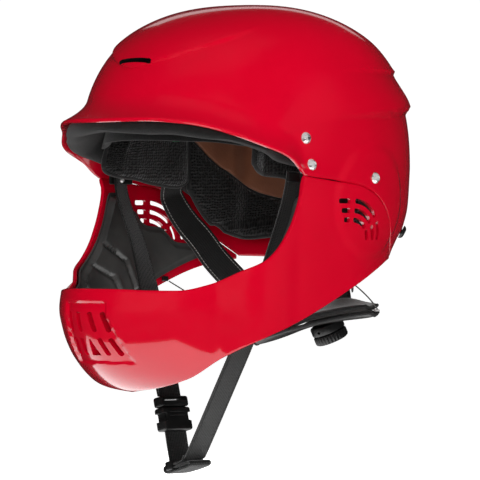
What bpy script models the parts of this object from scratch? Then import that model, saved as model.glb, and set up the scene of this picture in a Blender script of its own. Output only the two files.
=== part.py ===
"""Full-face whitewater helmet: painted dome, riveted face guard, liner, pads,
chin straps with a side-release buckle, and a nape cradle with a lace reel.

Frame: metres, +Z up, wearer's left = +X, the face looks along -Y.
Origin: the middle of the head, halfway between the ears.
"""
import math

import bmesh
import bpy
from mathutils import Matrix, Vector

# ---------------------------------------------------------------- driving dimensions
CROWN_BASE_Z = 0.050        # height where the dome starts to close
CROWN_RISE = 0.114          # from there to the top of the crown
HALF_WIDTH = 0.102          # dome half width
DOME_FRONT = 0.128          # dome reach to the front, above the brim
DOME_REAR = 0.128           # dome reach to the rear
SIDE_FULLNESS = 2.85        # superellipse powers of the dome's profiles
LENGTH_FULLNESS = 2.3
SHELL_T = 0.0030            # wall of the dome
GUARD_T = 0.0030            # wall of the face guard
SEAM_GAP = 0.0004
FLANGE_DROP = 0.0038        # the guard's flange lies this far below the dome's face
BRIM_REACH = 0.022          # how far the brim stands out at its middle
BRIM_HEIGHT = 0.019         # height of the fillet between dome and brim
LINER_T = 0.012
WEB_WIDTH = 0.020           # webbing
WEB_T = 0.0016
GAP = 0.0003                # clearance between neighbouring pieces

# Stations below the dome: height, half width, reach to the front, reach to the rear
STATIONS = (
    (-0.108, 0.072, 0.090, 0.096),
    (-0.103, 0.082, 0.112, 0.097),
    (-0.097, 0.088, 0.124, 0.098),
    (-0.088, 0.0925, 0.1355, 0.099),
    (-0.075, 0.0955, 0.147, 0.099),
    (-0.062, 0.0965, 0.154, 0.099),
    (-0.047, 0.097, 0.158, 0.099),
    (-0.032, 0.0975, 0.155, 0.100),
    (-0.013, 0.0985, 0.149, 0.102),
    (0.000, 0.0995, 0.146, 0.111),
    (0.008, 0.1005, 0.144, 0.1185),
    (0.025, 0.1015, 0.140, 0.1255),
    (0.050, 0.102, 0.134, 0.128),
)

# Edge curves: angle from the front in degrees, height in metres
OPENING_TOP = ((0, 0.0805), (15, 0.0808), (26, 0.079), (33, 0.0764), (42, 0.0705),
               (50, 0.064), (60, 0.055), (66, 0.0434))
SEAM = ((66, 0.0434), (71, 0.0421), (82, 0.0402), (94, 0.0377), (103, 0.033),
        (110, 0.0255), (114.6, 0.0173), (119, 0.0055), (124.5, -0.0024), (132, -0.012))
REAR_EDGE = ((132, -0.012), (150, -0.0128), (180, -0.013))
GUARD_LOW = ((0, -0.105), (12, -0.102), (25, -0.095), (38, -0.079), (53, -0.065),
             (62, -0.058), (81, -0.043), (96.5, -0.031), (115, -0.019), (126, -0.0145),
             (133, -0.0135))
# The guard's upper edge, each point paired with the angle where its column ends below
GUARD_TOP = ((0, -0.032, 0), (10, -0.0324, 10), (18, -0.0333, 18), (25, -0.0335, 25),
             (33, -0.0298, 32), (43, -0.0208, 41), (51, -0.0140, 47), (55.3, -0.0067, 51),
             (59, 0.0030, 54), (61.5, 0.0120, 57), (63.5, 0.0220, 60), (65, 0.0320, 63),
             (66, 0.0434, 66), (67, 0.0431, 67), (68, 0.0429, 68), (71, 0.0421, 71),
             (74, 0.0416, 74), (78, 0.0409, 78), (82, 0.0402, 82),
             (88, 0.0391, 88), (94, 0.0377, 94), (103, 0.0330, 103), (110, 0.0255, 110),
             (114.6, 0.0173, 115), (119, 0.0055, 119.5), (124.5, -0.0024, 125),
             (131, -0.0105, 131))
# The flange that reaches up behind the dome: base angle, lean, rise, part of its full drop
FLANGE = ((0, 0, 0, 0), (66, 0, 0, 0), (67, -1.0, 0.0008, 1), (68, -4.5, 0.034, 1),
          (71, -0.5, 0.034, 1), (74, 0, 0.024, 1), (78, 0, 0.011, 1), (82, 0, 0.009, 1),
          (94, 0, 0.010, 1), (99, 0, 0.018, 1), (106, 0, 0.018, 1), (110, 0, 0.010, 1),
          (119, 0, 0.003, 1), (131, 0, 0.0008, 1))
LINER_EDGE = ((0, 0.0735), (20, 0.0725), (40, 0.066), (55, 0.058), (62, 0.053), (70, 0.050),
              (80, 0.045), (95, 0.041), (108, 0.030), (118, 0.018), (132, 0.0165),
              (155, 0.0165), (170, 0.006), (180, 0.004))
RIVETS = ((67.0, 0.0690), (69.0, 0.0510), (103.4, 0.0426))
RIVET_HEAD_R = 0.0040
RIVET_SHANK_R = 0.0017
RIVET_SEAT = 0.0006         # the heads sit this proud of the dome's face

REAR_BOLT = (143.0, 0.0060)   # angle and height of the black bolts at the back
CRADLE_HALF = 0.058         # half the cradle's span
CRADLE_Z = -0.0590
CRADLE_TILT = 0.19          # the cradle hangs askew: rise per metre across
CRADLE_LIFT = 0.0120        # how far its rear edge stands above its front edge at the middle
CRADLE_T = 0.0022
LACE_R = 0.0005

RED = (0.62, 0.004, 0.018)
FOAM = (0.012, 0.012, 0.011)
MESH_BLACK = (0.006, 0.006, 0.006)
GREY_EVA = (0.075, 0.075, 0.072)
BROWN = (0.17, 0.05, 0.022)
WEB_BLACK = (0.008, 0.008, 0.008)
STEEL = (0.62, 0.61, 0.60)
PLASTIC = (0.010, 0.010, 0.011)
GREEN = (0.02, 0.30, 0.10)


# ---------------------------------------------------------------- numbers and curves
def smooth(x, low, high):
    """0 below low, 1 above high, a smooth step between."""
    t = min(1.0, max(0.0, (x - low) / (high - low)))
    return t * t * (3.0 - 2.0 * t)


def along(table, x, column=1):
    """Smooth, monotone reading of a table of rows sorted by their first value."""
    if x <= table[0][0]:
        return table[0][column]
    if x >= table[-1][0]:
        return table[-1][column]
    i = 0
    while table[i + 1][0] < x:
        i += 1

    def slope(k):
        return (table[k + 1][column] - table[k][column]) / (table[k + 1][0] - table[k][0])

    def tangent(k):
        if k == 0:
            return slope(0)
        if k == len(table) - 1:
            return slope(k - 1)
        before = slope(k - 1)
        after = slope(k)
        if before * after <= 0:
            return 0.0
        return 2.0 * before * after / (before + after)

    h = table[i + 1][0] - table[i][0]
    t = (x - table[i][0]) / h
    m0 = tangent(i) * h
    m1 = tangent(i + 1) * h
    return ((2 * t ** 3 - 3 * t ** 2 + 1) * table[i][column] + (t ** 3 - 2 * t ** 2 + t) * m0
            + (3 * t ** 2 - 2 * t ** 3) * table[i + 1][column] + (t ** 3 - t ** 2) * m1)


def shell_edge(angle):
    """Height of the dome's lower edge at an angle from the front, in degrees."""
    if angle < 66:
        return along(OPENING_TOP, angle)
    if angle < 132:
        return along(SEAM, angle)
    return along(REAR_EDGE, angle)


def crown_height(q):
    """Height for a climb q: 1 is the crown, 0 the dome's base, below 0 the walls."""
    if q <= 0:
        return CROWN_BASE_Z + 0.15 * q
    return CROWN_BASE_Z + CROWN_RISE * math.sin(min(q, 1.0) * math.pi / 2) ** 0.8


def climb(z):
    """The q that crown_height turns into this height."""
    if z <= CROWN_BASE_Z:
        return (z - CROWN_BASE_Z) / 0.15
    part = min(1.0, (z - CROWN_BASE_Z) / CROWN_RISE)
    return math.asin(part ** 1.25) * 2 / math.pi


# ---------------------------------------------------------------- the helmet's outer face
def relief(angle, z):
    """Raised crown, rear steps, ear bulge and grille recess, as height over the plain face."""
    raised = 0.0
    front_line = 0.1176 + 0.0006 * angle * angle / (angle + 6.0)
    front = smooth(z, front_line - 0.0012, front_line + 0.0012)
    raised += 0.0024 * front * (1.0 - smooth(angle, 26, 60)) * (1.0 - smooth(z, 0.135, 0.162))
    rear_line = 0.1165
    rear = smooth(z, rear_line - 0.001, rear_line + 0.002)
    raised += 0.0030 * rear * smooth(angle, 88, 118) * (1.0 - smooth(z, 0.135, 0.162))
    step_line = along(((60, 0.080), (108, 0.0855), (147, 0.0905), (180, 0.092)), angle)
    step = smooth(z, step_line - 0.001, step_line + 0.0025)
    step *= 1.0 - 0.8 * smooth(z, step_line + 0.004, 0.1155)
    raised += 0.0050 * step * smooth(angle, 66, 140) * (1.0 - smooth(z, 0.116, 0.121))
    ear = math.hypot((angle - 104) * 0.00175, z - 0.026)
    raised += 0.0012 * (1.0 - smooth(ear, 0.034, 0.042))
    return raised


def grille_recess(x, z):
    """Depth of the recessed panel round the chin grille."""
    half = 0.0195 + 0.22 * max(0.0, -0.050 - z)
    side = 1.0 - smooth(abs(x), half - 0.0012, half + 0.0012)
    height = smooth(z, -0.0845, -0.0815) * (1.0 - smooth(z, -0.0430, -0.0405))
    return 0.0022 * side * height


def outer_point(angle, z, features=True):
    """Point of the outer face. angle in degrees from the front, negative on the right."""
    turn = math.radians(abs(angle))
    side = -1.0 if angle < 0 else 1.0
    if z >= CROWN_BASE_Z:
        part = min(1.0, (z - CROWN_BASE_Z) / CROWN_RISE)
        close_side = max(0.0, 1.0 - part ** SIDE_FULLNESS) ** (1 / SIDE_FULLNESS)
        close_long = max(0.0, 1.0 - part ** LENGTH_FULLNESS) ** (1 / LENGTH_FULLNESS)
        width = HALF_WIDTH * close_side
        ahead = (DOME_FRONT + 0.006 * (1.0 - smooth(z, 0.050, 0.080))) * close_long
        behind = DOME_REAR * close_long
    else:
        width = along(STATIONS, z, 1)
        ahead = along(STATIONS, z, 2)
        behind = along(STATIONS, z, 3)
    if width < 1e-7:
        return Vector((0.0, 0.0, z))
    c = math.cos(turn)
    s = math.sin(turn)
    power = 2.0
    if c > 0:
        cheek = smooth(abs(angle), 34, 58) * (1.0 - 0.3 * smooth(abs(angle), 58, 66))
        power += 1.0 * cheek * (1.0 - smooth(z, 0.050, 0.110))
        power -= 0.15 * (1.0 - smooth(z, -0.01, 0.08))
    reach = ahead if c > 0 else behind
    radius = ((s / width) ** power + (abs(c) / reach) ** power) ** (-1.0 / power)
    if features:
        radius += relief(abs(angle), z)
        rise = z - shell_edge(abs(angle))
        if rise < BRIM_HEIGHT and abs(angle) < 90 and z > 0.035:
            flare = max(0.0, c) ** 1.6 * max(0.0, 1.0 - max(0.0, rise) / BRIM_HEIGHT) ** 2
            radius += BRIM_REACH * flare * smooth(z, 0.035, 0.050)
        if z < 0 and abs(angle) < 30:
            radius -= grille_recess(radius * s, z)
    return Vector((side * radius * s, -radius * c, z))


def face_normal(angle, z, features=False):
    """Outward normal of the outer face."""
    da = 0.25
    dz = 0.0004
    top = min(z + dz, CROWN_BASE_Z + CROWN_RISE * 0.9995)
    across = outer_point(angle + da, z, features) - outer_point(angle - da, z, features)
    upward = outer_point(angle, top, features) - outer_point(angle, z - dz, features)
    normal = across.cross(upward)
    if normal.length < 1e-12:
        return Vector((0, 0, 1))
    return normal.normalized()


def inside(angle, z, depth, features=False):
    """Point at a depth below the outer face."""
    return outer_point(angle, z, features) - face_normal(angle, z) * depth


# ---------------------------------------------------------------- making objects
def clear_scene():
    for item in list(bpy.data.objects):
        bpy.data.objects.remove(item, do_unlink=True)


def collection(name):
    made = bpy.data.collections.new(name)
    bpy.context.scene.collection.children.link(made)
    return made


def material(name, colour, roughness, metallic=0.0):
    made = bpy.data.materials.new(name)
    made.use_nodes = True
    shader = made.node_tree.nodes["Principled BSDF"]
    shader.inputs["Base Color"].default_value = (*colour, 1.0)
    shader.inputs["Roughness"].default_value = roughness
    shader.inputs["Metallic"].default_value = metallic
    return made


def add_object(name, mesh, look, group, smooth_angle=40.0):
    made = bpy.data.objects.new(name, mesh)
    group.objects.link(made)
    if look:
        mesh.materials.append(look)
    mesh.shade_smooth()
    mesh.set_sharp_from_angle(angle=math.radians(smooth_angle))
    return made


def grid_mesh(name, rows, ring=False, apex=None):
    """Open surface over rows of points; ring joins the row ends, apex closes the last row."""
    bm = bmesh.new()
    lines = [[bm.verts.new(point) for point in row] for row in rows]
    count = len(rows[0])
    span = count if ring else count - 1
    for low, high in zip(lines, lines[1:]):
        for i in range(span):
            j = (i + 1) % count
            bm.faces.new((low[i], low[j], high[j], high[i]))
    if apex is not None:
        tip = bm.verts.new(apex)
        for i in range(span):
            bm.faces.new((lines[-1][i], lines[-1][(i + 1) % count], tip))
    mesh = bpy.data.meshes.new(name)
    bm.to_mesh(mesh)
    bm.free()
    return mesh


def thicken(made, thickness, offset=-1.0):
    solid = made.modifiers.new("Wall", "SOLIDIFY")
    solid.thickness = thickness
    solid.offset = offset
    solid.use_even_offset = True
    return solid


def cut(made, cutter):
    step = made.modifiers.new("Cut", "BOOLEAN")
    step.operation = "DIFFERENCE"
    step.solver = "EXACT"
    step.object = cutter


def cutter_object(name, mesh, group):
    made = bpy.data.objects.new(name, mesh)
    group.objects.link(made)
    made.hide_render = True
    made.display_type = "WIRE"
    return made


def turned(name, profile, place, look, group, steps=16, closed=False):
    """Solid of revolution; the profile runs down the outer side in (radius, height)."""
    mesh = bpy.data.meshes.new(name)
    points = [(radius, 0.0, height) for radius, height in profile]
    edges = [(i, i + 1) for i in range(len(points) - 1)]
    if closed:
        edges.append((len(points) - 1, 0))
    mesh.from_pydata(points, edges, [])
    made = bpy.data.objects.new(name, mesh)
    group.objects.link(made)
    mesh.materials.append(look)
    made.matrix_world = place
    screw = made.modifiers.new("Turn", "SCREW")
    screw.steps = steps
    screw.render_steps = steps
    screw.use_merge_vertices = True
    screw.merge_threshold = 0.00002
    screw.use_smooth_shade = True
    return made


def placed_on_face(angle, z, depth=0.0):
    """Matrix whose +Z is the outward normal at a point of the outer face."""
    normal = face_normal(angle, z, True)
    origin = outer_point(angle, z) - normal * depth
    return Matrix.Translation(origin) @ normal.to_track_quat("Z", "Y").to_matrix().to_4x4()


def box_mesh(name, size, centre=(0, 0, 0), bevel=0.0):
    bm = bmesh.new()
    bmesh.ops.create_cube(bm, size=1.0)
    bmesh.ops.scale(bm, vec=size, verts=bm.verts)
    bmesh.ops.translate(bm, vec=centre, verts=bm.verts)
    if bevel:
        bmesh.ops.bevel(bm, geom=bm.edges[:], offset=bevel, segments=1, affect="EDGES")
    mesh = bpy.data.meshes.new(name)
    bm.to_mesh(mesh)
    bm.free()
    return mesh


def slot_prism(bm, path, width, reach_out=0.004, reach_in=0.009):
    """Adds a prism along a path of (angle, height) points, cutting through the wall."""
    points = [outer_point(angle, z) for angle, z in path]
    normals = [face_normal(angle, z) for angle, z in path]
    sections = []
    last = len(points) - 1
    for i, point in enumerate(points):
        tangent = (points[min(i + 1, last)] - points[max(i - 1, 0)]).normalized()
        side = normals[i].cross(tangent).normalized()
        half = width * (0.5 if 0 < i < last else 0.30)
        ring = []
        for across, depth in ((-1, reach_out), (1, reach_out), (1, -reach_in), (-1, -reach_in)):
            ring.append(bm.verts.new(point + side * across * half + normals[i] * depth))
        sections.append(ring)
    for before, after in zip(sections, sections[1:]):
        for k in range(4):
            j = (k + 1) % 4
            bm.faces.new((before[k], before[j], after[j], after[k]))
    bm.faces.new(sections[0][::-1])
    bm.faces.new(sections[-1])


# ---------------------------------------------------------------- dome and guard
def shell_rows(columns, rows, power=1.5):
    """Rows of points of the dome's outer face, from its edge to just under the crown."""
    out = []
    for r in range(rows):
        t = (r / rows) ** power
        line = []
        for k in range(columns):
            angle = 360.0 * k / columns
            signed = angle if angle <= 180 else angle - 360
            low = climb(shell_edge(abs(signed)) + SEAM_GAP)
            line.append(outer_point(signed, crown_height(low + (1.0 - low) * t)))
        out.append(line)
    return out


def make_shell(parts, cutters, look):
    top = Vector((0, 0, CROWN_BASE_Z + CROWN_RISE))
    made = add_object("outer_shell", grid_mesh("outer_shell", shell_rows(60, 12), True, top),
                      look, parts)
    thicken(made, SHELL_T)
    bm = bmesh.new()
    arc = [(-8.0, 0.1218), (-7.2, 0.1218), (-3.6, 0.1225), (0, 0.1227), (3.6, 0.1225),
           (7.2, 0.1218), (8.0, 0.1218)]
    slot_prism(bm, arc, 0.0030)
    for side in (-1, 1):
        for angle, z in RIVETS:
            drill(bm, placed_on_face(side * angle, z), RIVET_SHANK_R + 0.0005)
        drill(bm, placed_on_face(side * REAR_BOLT[0], REAR_BOLT[1]), 0.0022)
    cut(made, cutter_from(bm, "shell_cuts", cutters))
    return made


def drill(bm, place, radius):
    """Adds a drill along the place's +Z, from 6 mm outside to 12 mm inside."""
    shift = Matrix.Translation((0, 0, -0.003))
    bmesh.ops.create_cone(bm, cap_ends=True, segments=8, radius1=radius, radius2=radius,
                          depth=0.018, matrix=place @ shift)


def cutter_from(bm, name, group):
    bmesh.ops.recalc_face_normals(bm, faces=bm.faces[:])
    mesh = bpy.data.meshes.new(name)
    bm.to_mesh(mesh)
    bm.free()
    return cutter_object(name, mesh, group)


def guard_columns():
    """Columns of the guard: upper angle, upper height, lower angle."""
    dense = []
    for a, b in zip(GUARD_TOP, GUARD_TOP[1:]):
        steps = 2 if b[2] - a[2] > 6.5 else 1
        for k in range(steps):
            t = k / steps
            dense.append(tuple(a[i] + (b[i] - a[i]) * t for i in range(3)))
    dense.append(GUARD_TOP[-1])
    return dense


def guard_line(column, rows):
    """One column of the guard from its flange to its lower edge: angle, height of the
    outer face, height of the inner face, depth of the outer face."""
    top_angle, top_z, low_angle = column
    lean, rise, share = [along(FLANGE, top_angle, k) for k in (1, 2, 3)]
    share = 1.0 if share > 0.5 else 0.0
    top = top_z - SEAM_GAP
    low = along(GUARD_LOW, low_angle)
    shelf = GUARD_T * share
    points = []
    if share:
        for t in (1.0, 0.5, 0.0):
            inner = top - shelf + (rise + shelf) * t
            points.append((top_angle + lean * t, top + rise * t, inner, FLANGE_DROP))
    else:
        for k in range(3):
            z = top - 0.0006 * k
            points.append((top_angle, z, z, 0.0))
    first = top if share else top - 0.0018
    for r in range(rows + 1):
        t = r / rows
        z = first + (low - first) * t
        angle = top_angle + (low_angle - top_angle) * t
        points.append((angle, z, z - shelf * (1 - t) ** 2, 0.0))
    return points


def wall_mesh(name, outer, inner):
    """Closed wall between two grids of points, row by row."""
    bm = bmesh.new()
    faces = [[[bm.verts.new(point) for point in row] for row in grid] for grid in (outer, inner)]
    for grid, turn in zip(faces, (1, -1)):
        for low, high in zip(grid, grid[1:]):
            for i in range(len(low) - 1):
                bm.faces.new((low[i], low[i + 1], high[i + 1], high[i])[::turn])
    out, back = faces
    border = [(0, i) for i in range(len(out[0]))]
    border += [(r, len(out[0]) - 1) for r in range(1, len(out))]
    border += [(len(out) - 1, i) for i in range(len(out[0]) - 2, -1, -1)]
    border += [(r, 0) for r in range(len(out) - 2, 0, -1)]
    for (r, i), (q, j) in zip(border, border[1:] + border[:1]):
        bm.faces.new((out[q][j], out[r][i], back[r][i], back[q][j]))
    mesh = bpy.data.meshes.new(name)
    bm.to_mesh(mesh)
    bm.free()
    return mesh


def make_guard(parts, cutters, look):
    half = guard_columns()
    columns = [(c, -1) for c in half[:0:-1]] + [(c, 1) for c in half]
    outer = []
    inner = []
    for column, side in columns:
        line = guard_line(column, 6)
        outer.append([inside(side * angle, z, depth, True) for angle, z, _, depth in line])
        inner.append([inside(side * angle, z, depth + GUARD_T, True)
                      for angle, _, z, depth in line])
    count = len(outer[0])
    outer_rows = [[line[i] for line in outer] for i in range(count - 1, -1, -1)]
    inner_rows = [[line[i] for line in inner] for i in range(count - 1, -1, -1)]
    made = add_object("face_guard", wall_mesh("face_guard", outer_rows, inner_rows), look, parts)
    bm = bmesh.new()
    for side in (-1, 1):
        side_vents(bm, side)
        for angle, z in RIVETS:
            drill(bm, placed_on_face(side * angle, z), RIVET_SHANK_R + 0.0005)
    chin_grille(bm)
    cut(made, cutter_from(bm, "guard_cuts", cutters))
    return made


def ear_path(side, reach, height, start, end, steps):
    """Path on the ear's quarter ellipse, from one angle to another in degrees."""
    path = []
    for k in range(steps + 1):
        turn = math.radians(start + (end - start) * k / steps)
        back = reach * math.cos(turn)
        angle = 90 + math.degrees(math.atan2(back, 0.100))
        path.append((side * angle, height * math.sin(turn)))
    return path


def side_vents(bm, side):
    """Three nested vents by the ear, each in a short, a curved and an upright piece."""
    for reach, height, short in ((0.0315, 0.0268, 0.0125), (0.0245, 0.0202, 0.0100),
                                 (0.0172, 0.0138, 0.0075)):
        z = height * 0.995
        forward = [0.0015 + (short - 0.0015) * t for t in (0, 0.15, 0.85, 1)]
        path = [(side * (90 - math.degrees(math.atan2(y, 0.100))), z) for y in forward]
        slot_prism(bm, path, 0.0034)
        slot_prism(bm, ear_path(side, reach, height, 85, 36, 4), 0.0034)
        slot_prism(bm, ear_path(side, reach, height, 29, 0, 2), 0.0034)


def chin_grille(bm):
    """Fan of upright slots in the chin, with a wedge in the middle of the lower row."""
    upper = ((0.0052, 0.0068), (0.0150, 0.0182))
    lower = ((0.0085, 0.0115), (0.0170, 0.0222))
    for rows, top, bottom in ((upper, -0.0485, -0.0620), (lower, -0.0665, -0.0780)):
        for x_top, x_low in rows:
            for side in (-1, 1):
                path = []
                for t in (0.0, 0.15, 0.85, 1.0):
                    x = x_top + (x_low - x_top) * t
                    angle = math.degrees(math.atan2(x, 0.150))
                    path.append((side * angle, top + (bottom - top) * t))
                slot_prism(bm, path, 0.0036)
    wedge_top = -0.0670
    wedge_low = -0.0780
    corners = []
    for x, z in ((-0.0008, wedge_top), (0.0008, wedge_top), (0.0042, wedge_low),
                 (-0.0042, wedge_low)):
        corners.append([bm.verts.new((x, y, z)) for y in (-0.165, -0.130)])
    for k in range(4):
        j = (k + 1) % 4
        bm.faces.new((corners[k][0], corners[j][0], corners[j][1], corners[k][1]))
    bm.faces.new([pair[0] for pair in corners])
    bm.faces.new([pair[1] for pair in corners])


def make_rivets(parts, head_look, washer_look):
    """Domed rivets through dome and flange, each with a washer behind the flange."""
    back = FLANGE_DROP + GUARD_T
    head = [(0.0, 0.0027), (0.0018, 0.0024), (0.0032, 0.0015), (RIVET_HEAD_R, 0.0009),
            (RIVET_HEAD_R, RIVET_SEAT), (RIVET_SHANK_R, RIVET_SEAT),
            (RIVET_SHANK_R, -back - 0.0034), (0.0, -back - 0.0034)]
    washer = [(0.0020, -back - 0.0021), (0.0040, -back - 0.0021), (0.0040, -back - 0.0030),
              (0.0020, -back - 0.0030)]
    for side, word in ((1, "left"), (-1, "right")):
        for number, (angle, z) in enumerate(RIVETS, 1):
            place = placed_on_face(side * angle, z)
            turned(f"guard_rivet_{word}_{number}", head, place, head_look, parts, 10)
            turned(f"rivet_washer_{word}_{number}", washer, place, washer_look, parts, 10, True)


# ---------------------------------------------------------------- liner and pads
def liner_depth(angle, z):
    """The liner steps in behind the guard's flange and lies on the dome elsewhere."""
    by_angle = smooth(angle, 50, 60) * (1.0 - smooth(angle, 124, 134))
    by_height = 1.0 - smooth(z, 0.082, 0.092)
    return 0.0042 + 0.0066 * by_angle * by_height


def make_liner(parts, look):
    columns = 60
    rows = 8
    lines = []
    for r in range(rows):
        t = (r / rows) ** 1.15
        line = []
        for k in range(columns):
            angle = 360.0 * k / columns
            signed = angle if angle <= 180 else angle - 360
            low = climb(along(LINER_EDGE, abs(signed)))
            z = crown_height(low + (1.0 - low) * t)
            line.append(inside(signed, z, liner_depth(abs(signed), z)))
        lines.append(line)
    top = Vector((0, 0, CROWN_BASE_Z + CROWN_RISE - 0.0042))
    made = add_object("foam_liner", grid_mesh("foam_liner", lines, True, top), look, parts)
    thicken(made, LINER_T)
    return made


def patch(name, low, high, lift, thickness, columns, rows, look, parts):
    """Pad that lies a lift inside the liner. low and high are edge tables, which may run
    past 180 degrees across the back."""
    start = low[0][0]
    end = low[-1][0]
    lines = []
    for r in range(rows + 1):
        line = []
        for k in range(columns + 1):
            angle = start + (end - start) * k / columns
            bottom = along(low, angle)
            z = bottom + (along(high, angle) - bottom) * r / rows
            signed = angle if angle <= 180 else angle - 360
            line.append(inside(signed, z, liner_depth(abs(signed), z) + LINER_T + lift))
        lines.append(line)
    made = add_object(name, grid_mesh(name, lines), look, parts)
    thicken(made, thickness)


def mirrored(table):
    """The same edge table on the wearer's right."""
    return tuple((-row[0], *row[1:]) for row in reversed(table))


def across_back(table, rise=0.0):
    """An edge table that ends at 180 degrees, raised and carried round to the other side."""
    half = tuple((angle, z + rise) for angle, z in table)
    return half + tuple((360 - angle, z) for angle, z in reversed(half[:-1]))


# Lower and upper edges of the pads: angle and height. The nape pad drops behind the ear.
TEMPLE_LOW = ((49, 0.0495), (52, 0.0470), (60, 0.0446), (68, 0.0430), (76, 0.0405),
              (90, 0.0375), (99, 0.0365))
TEMPLE_HIGH = ((49, 0.0740), (53, 0.0820), (68, 0.0860), (90, 0.0850), (99, 0.0800))
NAPE_LOW = ((101, 0.0355), (104, 0.0290), (108, 0.0190), (113, 0.0095), (120, 0.0015),
            (128, -0.0040), (140, -0.0062), (180, -0.0066))
NAPE_HIGH = ((101, 0.0740), (106, 0.0680), (112, 0.0590), (118, 0.0515), (128, 0.0410),
             (139, 0.0310), (150, 0.0265), (180, 0.0255))
BAND_HIGH = ((101, 0.0800), (112, 0.0830), (140, 0.0850), (180, 0.0860))


def make_pads(parts, looks):
    patch("brow_pad", ((-44, 0.0655), (-30, 0.0705), (0, 0.0740), (30, 0.0705), (44, 0.0655)),
          ((-44, 0.0840), (-30, 0.0900), (0, 0.0930), (30, 0.0900), (44, 0.0840)),
          GAP * 3, 0.006, 18, 2, looks["foam"], parts)
    for word, flip in (("left", False), ("right", True)):
        low = mirrored(TEMPLE_LOW) if flip else TEMPLE_LOW
        high = mirrored(TEMPLE_HIGH) if flip else TEMPLE_HIGH
        patch(f"temple_pad_{word}", low, high, 0.0032, 0.007, 14, 4, looks["mesh"], parts)
    patch("rear_pad", across_back(NAPE_LOW), across_back(NAPE_HIGH), 0.0018, 0.006, 24, 4,
          looks["mesh"], parts)
    patch("crown_band", across_back(NAPE_HIGH, 0.0018), across_back(BAND_HIGH), 0.0018, 0.004,
          24, 3, looks["brown"], parts)
    oval = ((0.0, 0.0), (0.020, -0.0006), (0.027, -0.0022), (0.027, -0.0050), (0.0, -0.0060))
    top_z = CROWN_BASE_Z + CROWN_RISE - 0.0042 - LINER_T - 0.0020
    turned("crown_pad", oval, Matrix.Translation((0, 0, top_z)), looks["mesh"], parts, 20)


CHIN_PAD_TOP = ((14, -0.0400), (24, -0.0395), (34, -0.0325), (43, -0.0232), (51, -0.0165),
                (56, -0.0088), (60.2, 0.0010), (62.8, 0.0100), (64.8, 0.0205), (66.2, 0.0300),
                (67.6, 0.0335), (70.5, 0.0335), (73, 0.0300), (76, 0.0250), (82, 0.0185),
                (84.5, 0.0125), (88.5, 0.0096), (94.3, 0.0090), (103, -0.0020), (110, -0.0035),
                (118, -0.0060))


def make_chin_pads(parts, look):
    """Moulded pads inside the guard, from beside the chin to behind the ear."""
    angles = [row[0] for row in CHIN_PAD_TOP]
    dense = []
    for a, b in zip(angles, angles[1:]):
        steps = max(1, round((b - a) / 6))
        dense += [a + (b - a) * k / steps for k in range(steps)]
    dense.append(angles[-1])
    for word, side in (("left", 1), ("right", -1)):
        lines = []
        for r in range(6):
            line = []
            for angle in dense:
                low = along(GUARD_LOW, angle) + 0.0064
                z = low + (along(CHIN_PAD_TOP, angle) - low) * r / 5
                line.append(inside(side * angle, z, GUARD_T + 0.0012))
            if side < 0:
                line.reverse()
            lines.append(line)
        made = add_object(f"chin_pad_{word}", grid_mesh(f"chin_pad_{word}", lines), look, parts)
        thicken(made, 0.0062)


# ---------------------------------------------------------------- straps and buckle
def webbing(name, points, across, look, parts, width=WEB_WIDTH, thickness=WEB_T):
    """Flat strap along points; across is its width direction, one vector or one per point."""
    half = width / 2
    if isinstance(across, Vector):
        across = [across] * len(points)
    rows = [[point - side * half, point + side * half] for point, side in zip(points, across)]
    mesh = grid_mesh(name, rows)
    made = add_object(name, mesh, look, parts)
    thicken(made, thickness, 0.0)
    return made


def between(start, end, steps, bow=Vector((0, 0, 0))):
    """Points on a shallow arc from start to end."""
    points = []
    for k in range(steps + 1):
        t = k / steps
        points.append(start.lerp(end, t) + bow * (4 * t * (1 - t)))
    return points


ANCHOR_Z = 0.0380           # top of the chin strap's legs
BUCKLE_TOP_Z = -0.1090
BUCKLE_SPLIT_Z = -0.1165
BUCKLE_LOW_Z = -0.1330
STRAP_FOOT_Z = -0.1495
# The legs' middle line, from the foot up: height, left leg's X, right leg's X, Y of both
LEGS = ((-0.165, -0.0049, -0.0079, -0.0542), (-0.150, 0.0040, -0.0115, -0.0540),
        (-0.100, 0.0335, -0.0235, -0.0535), (-0.079, 0.0450, -0.0310, -0.0525),
        (-0.043, 0.0620, -0.0440, -0.0495), (-0.004, 0.0765, -0.0635, -0.0430),
        (0.039, 0.0880, -0.0880, -0.0375), (0.050, 0.0892, -0.0895, -0.0370))


def leg_point(side, z):
    """Middle of a chin strap's leg at a height; side 1 is the left leg."""
    return Vector((along(LEGS, z, 1 if side > 0 else 2), along(LEGS, z, 3), z))


def leg_frame(side, z):
    """Matrix on a leg: +Z up along the leg, +Y its width, +X its outer face."""
    up = (leg_point(side, z + 0.01) - leg_point(side, z - 0.01)).normalized()
    width = Vector((0, 1, 0))
    outward = width.cross(up).normalized()
    width = up.cross(outward).normalized()
    turn = Matrix((outward, width, up)).transposed().to_4x4()
    return Matrix.Translation(leg_point(side, z)) @ turn


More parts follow.
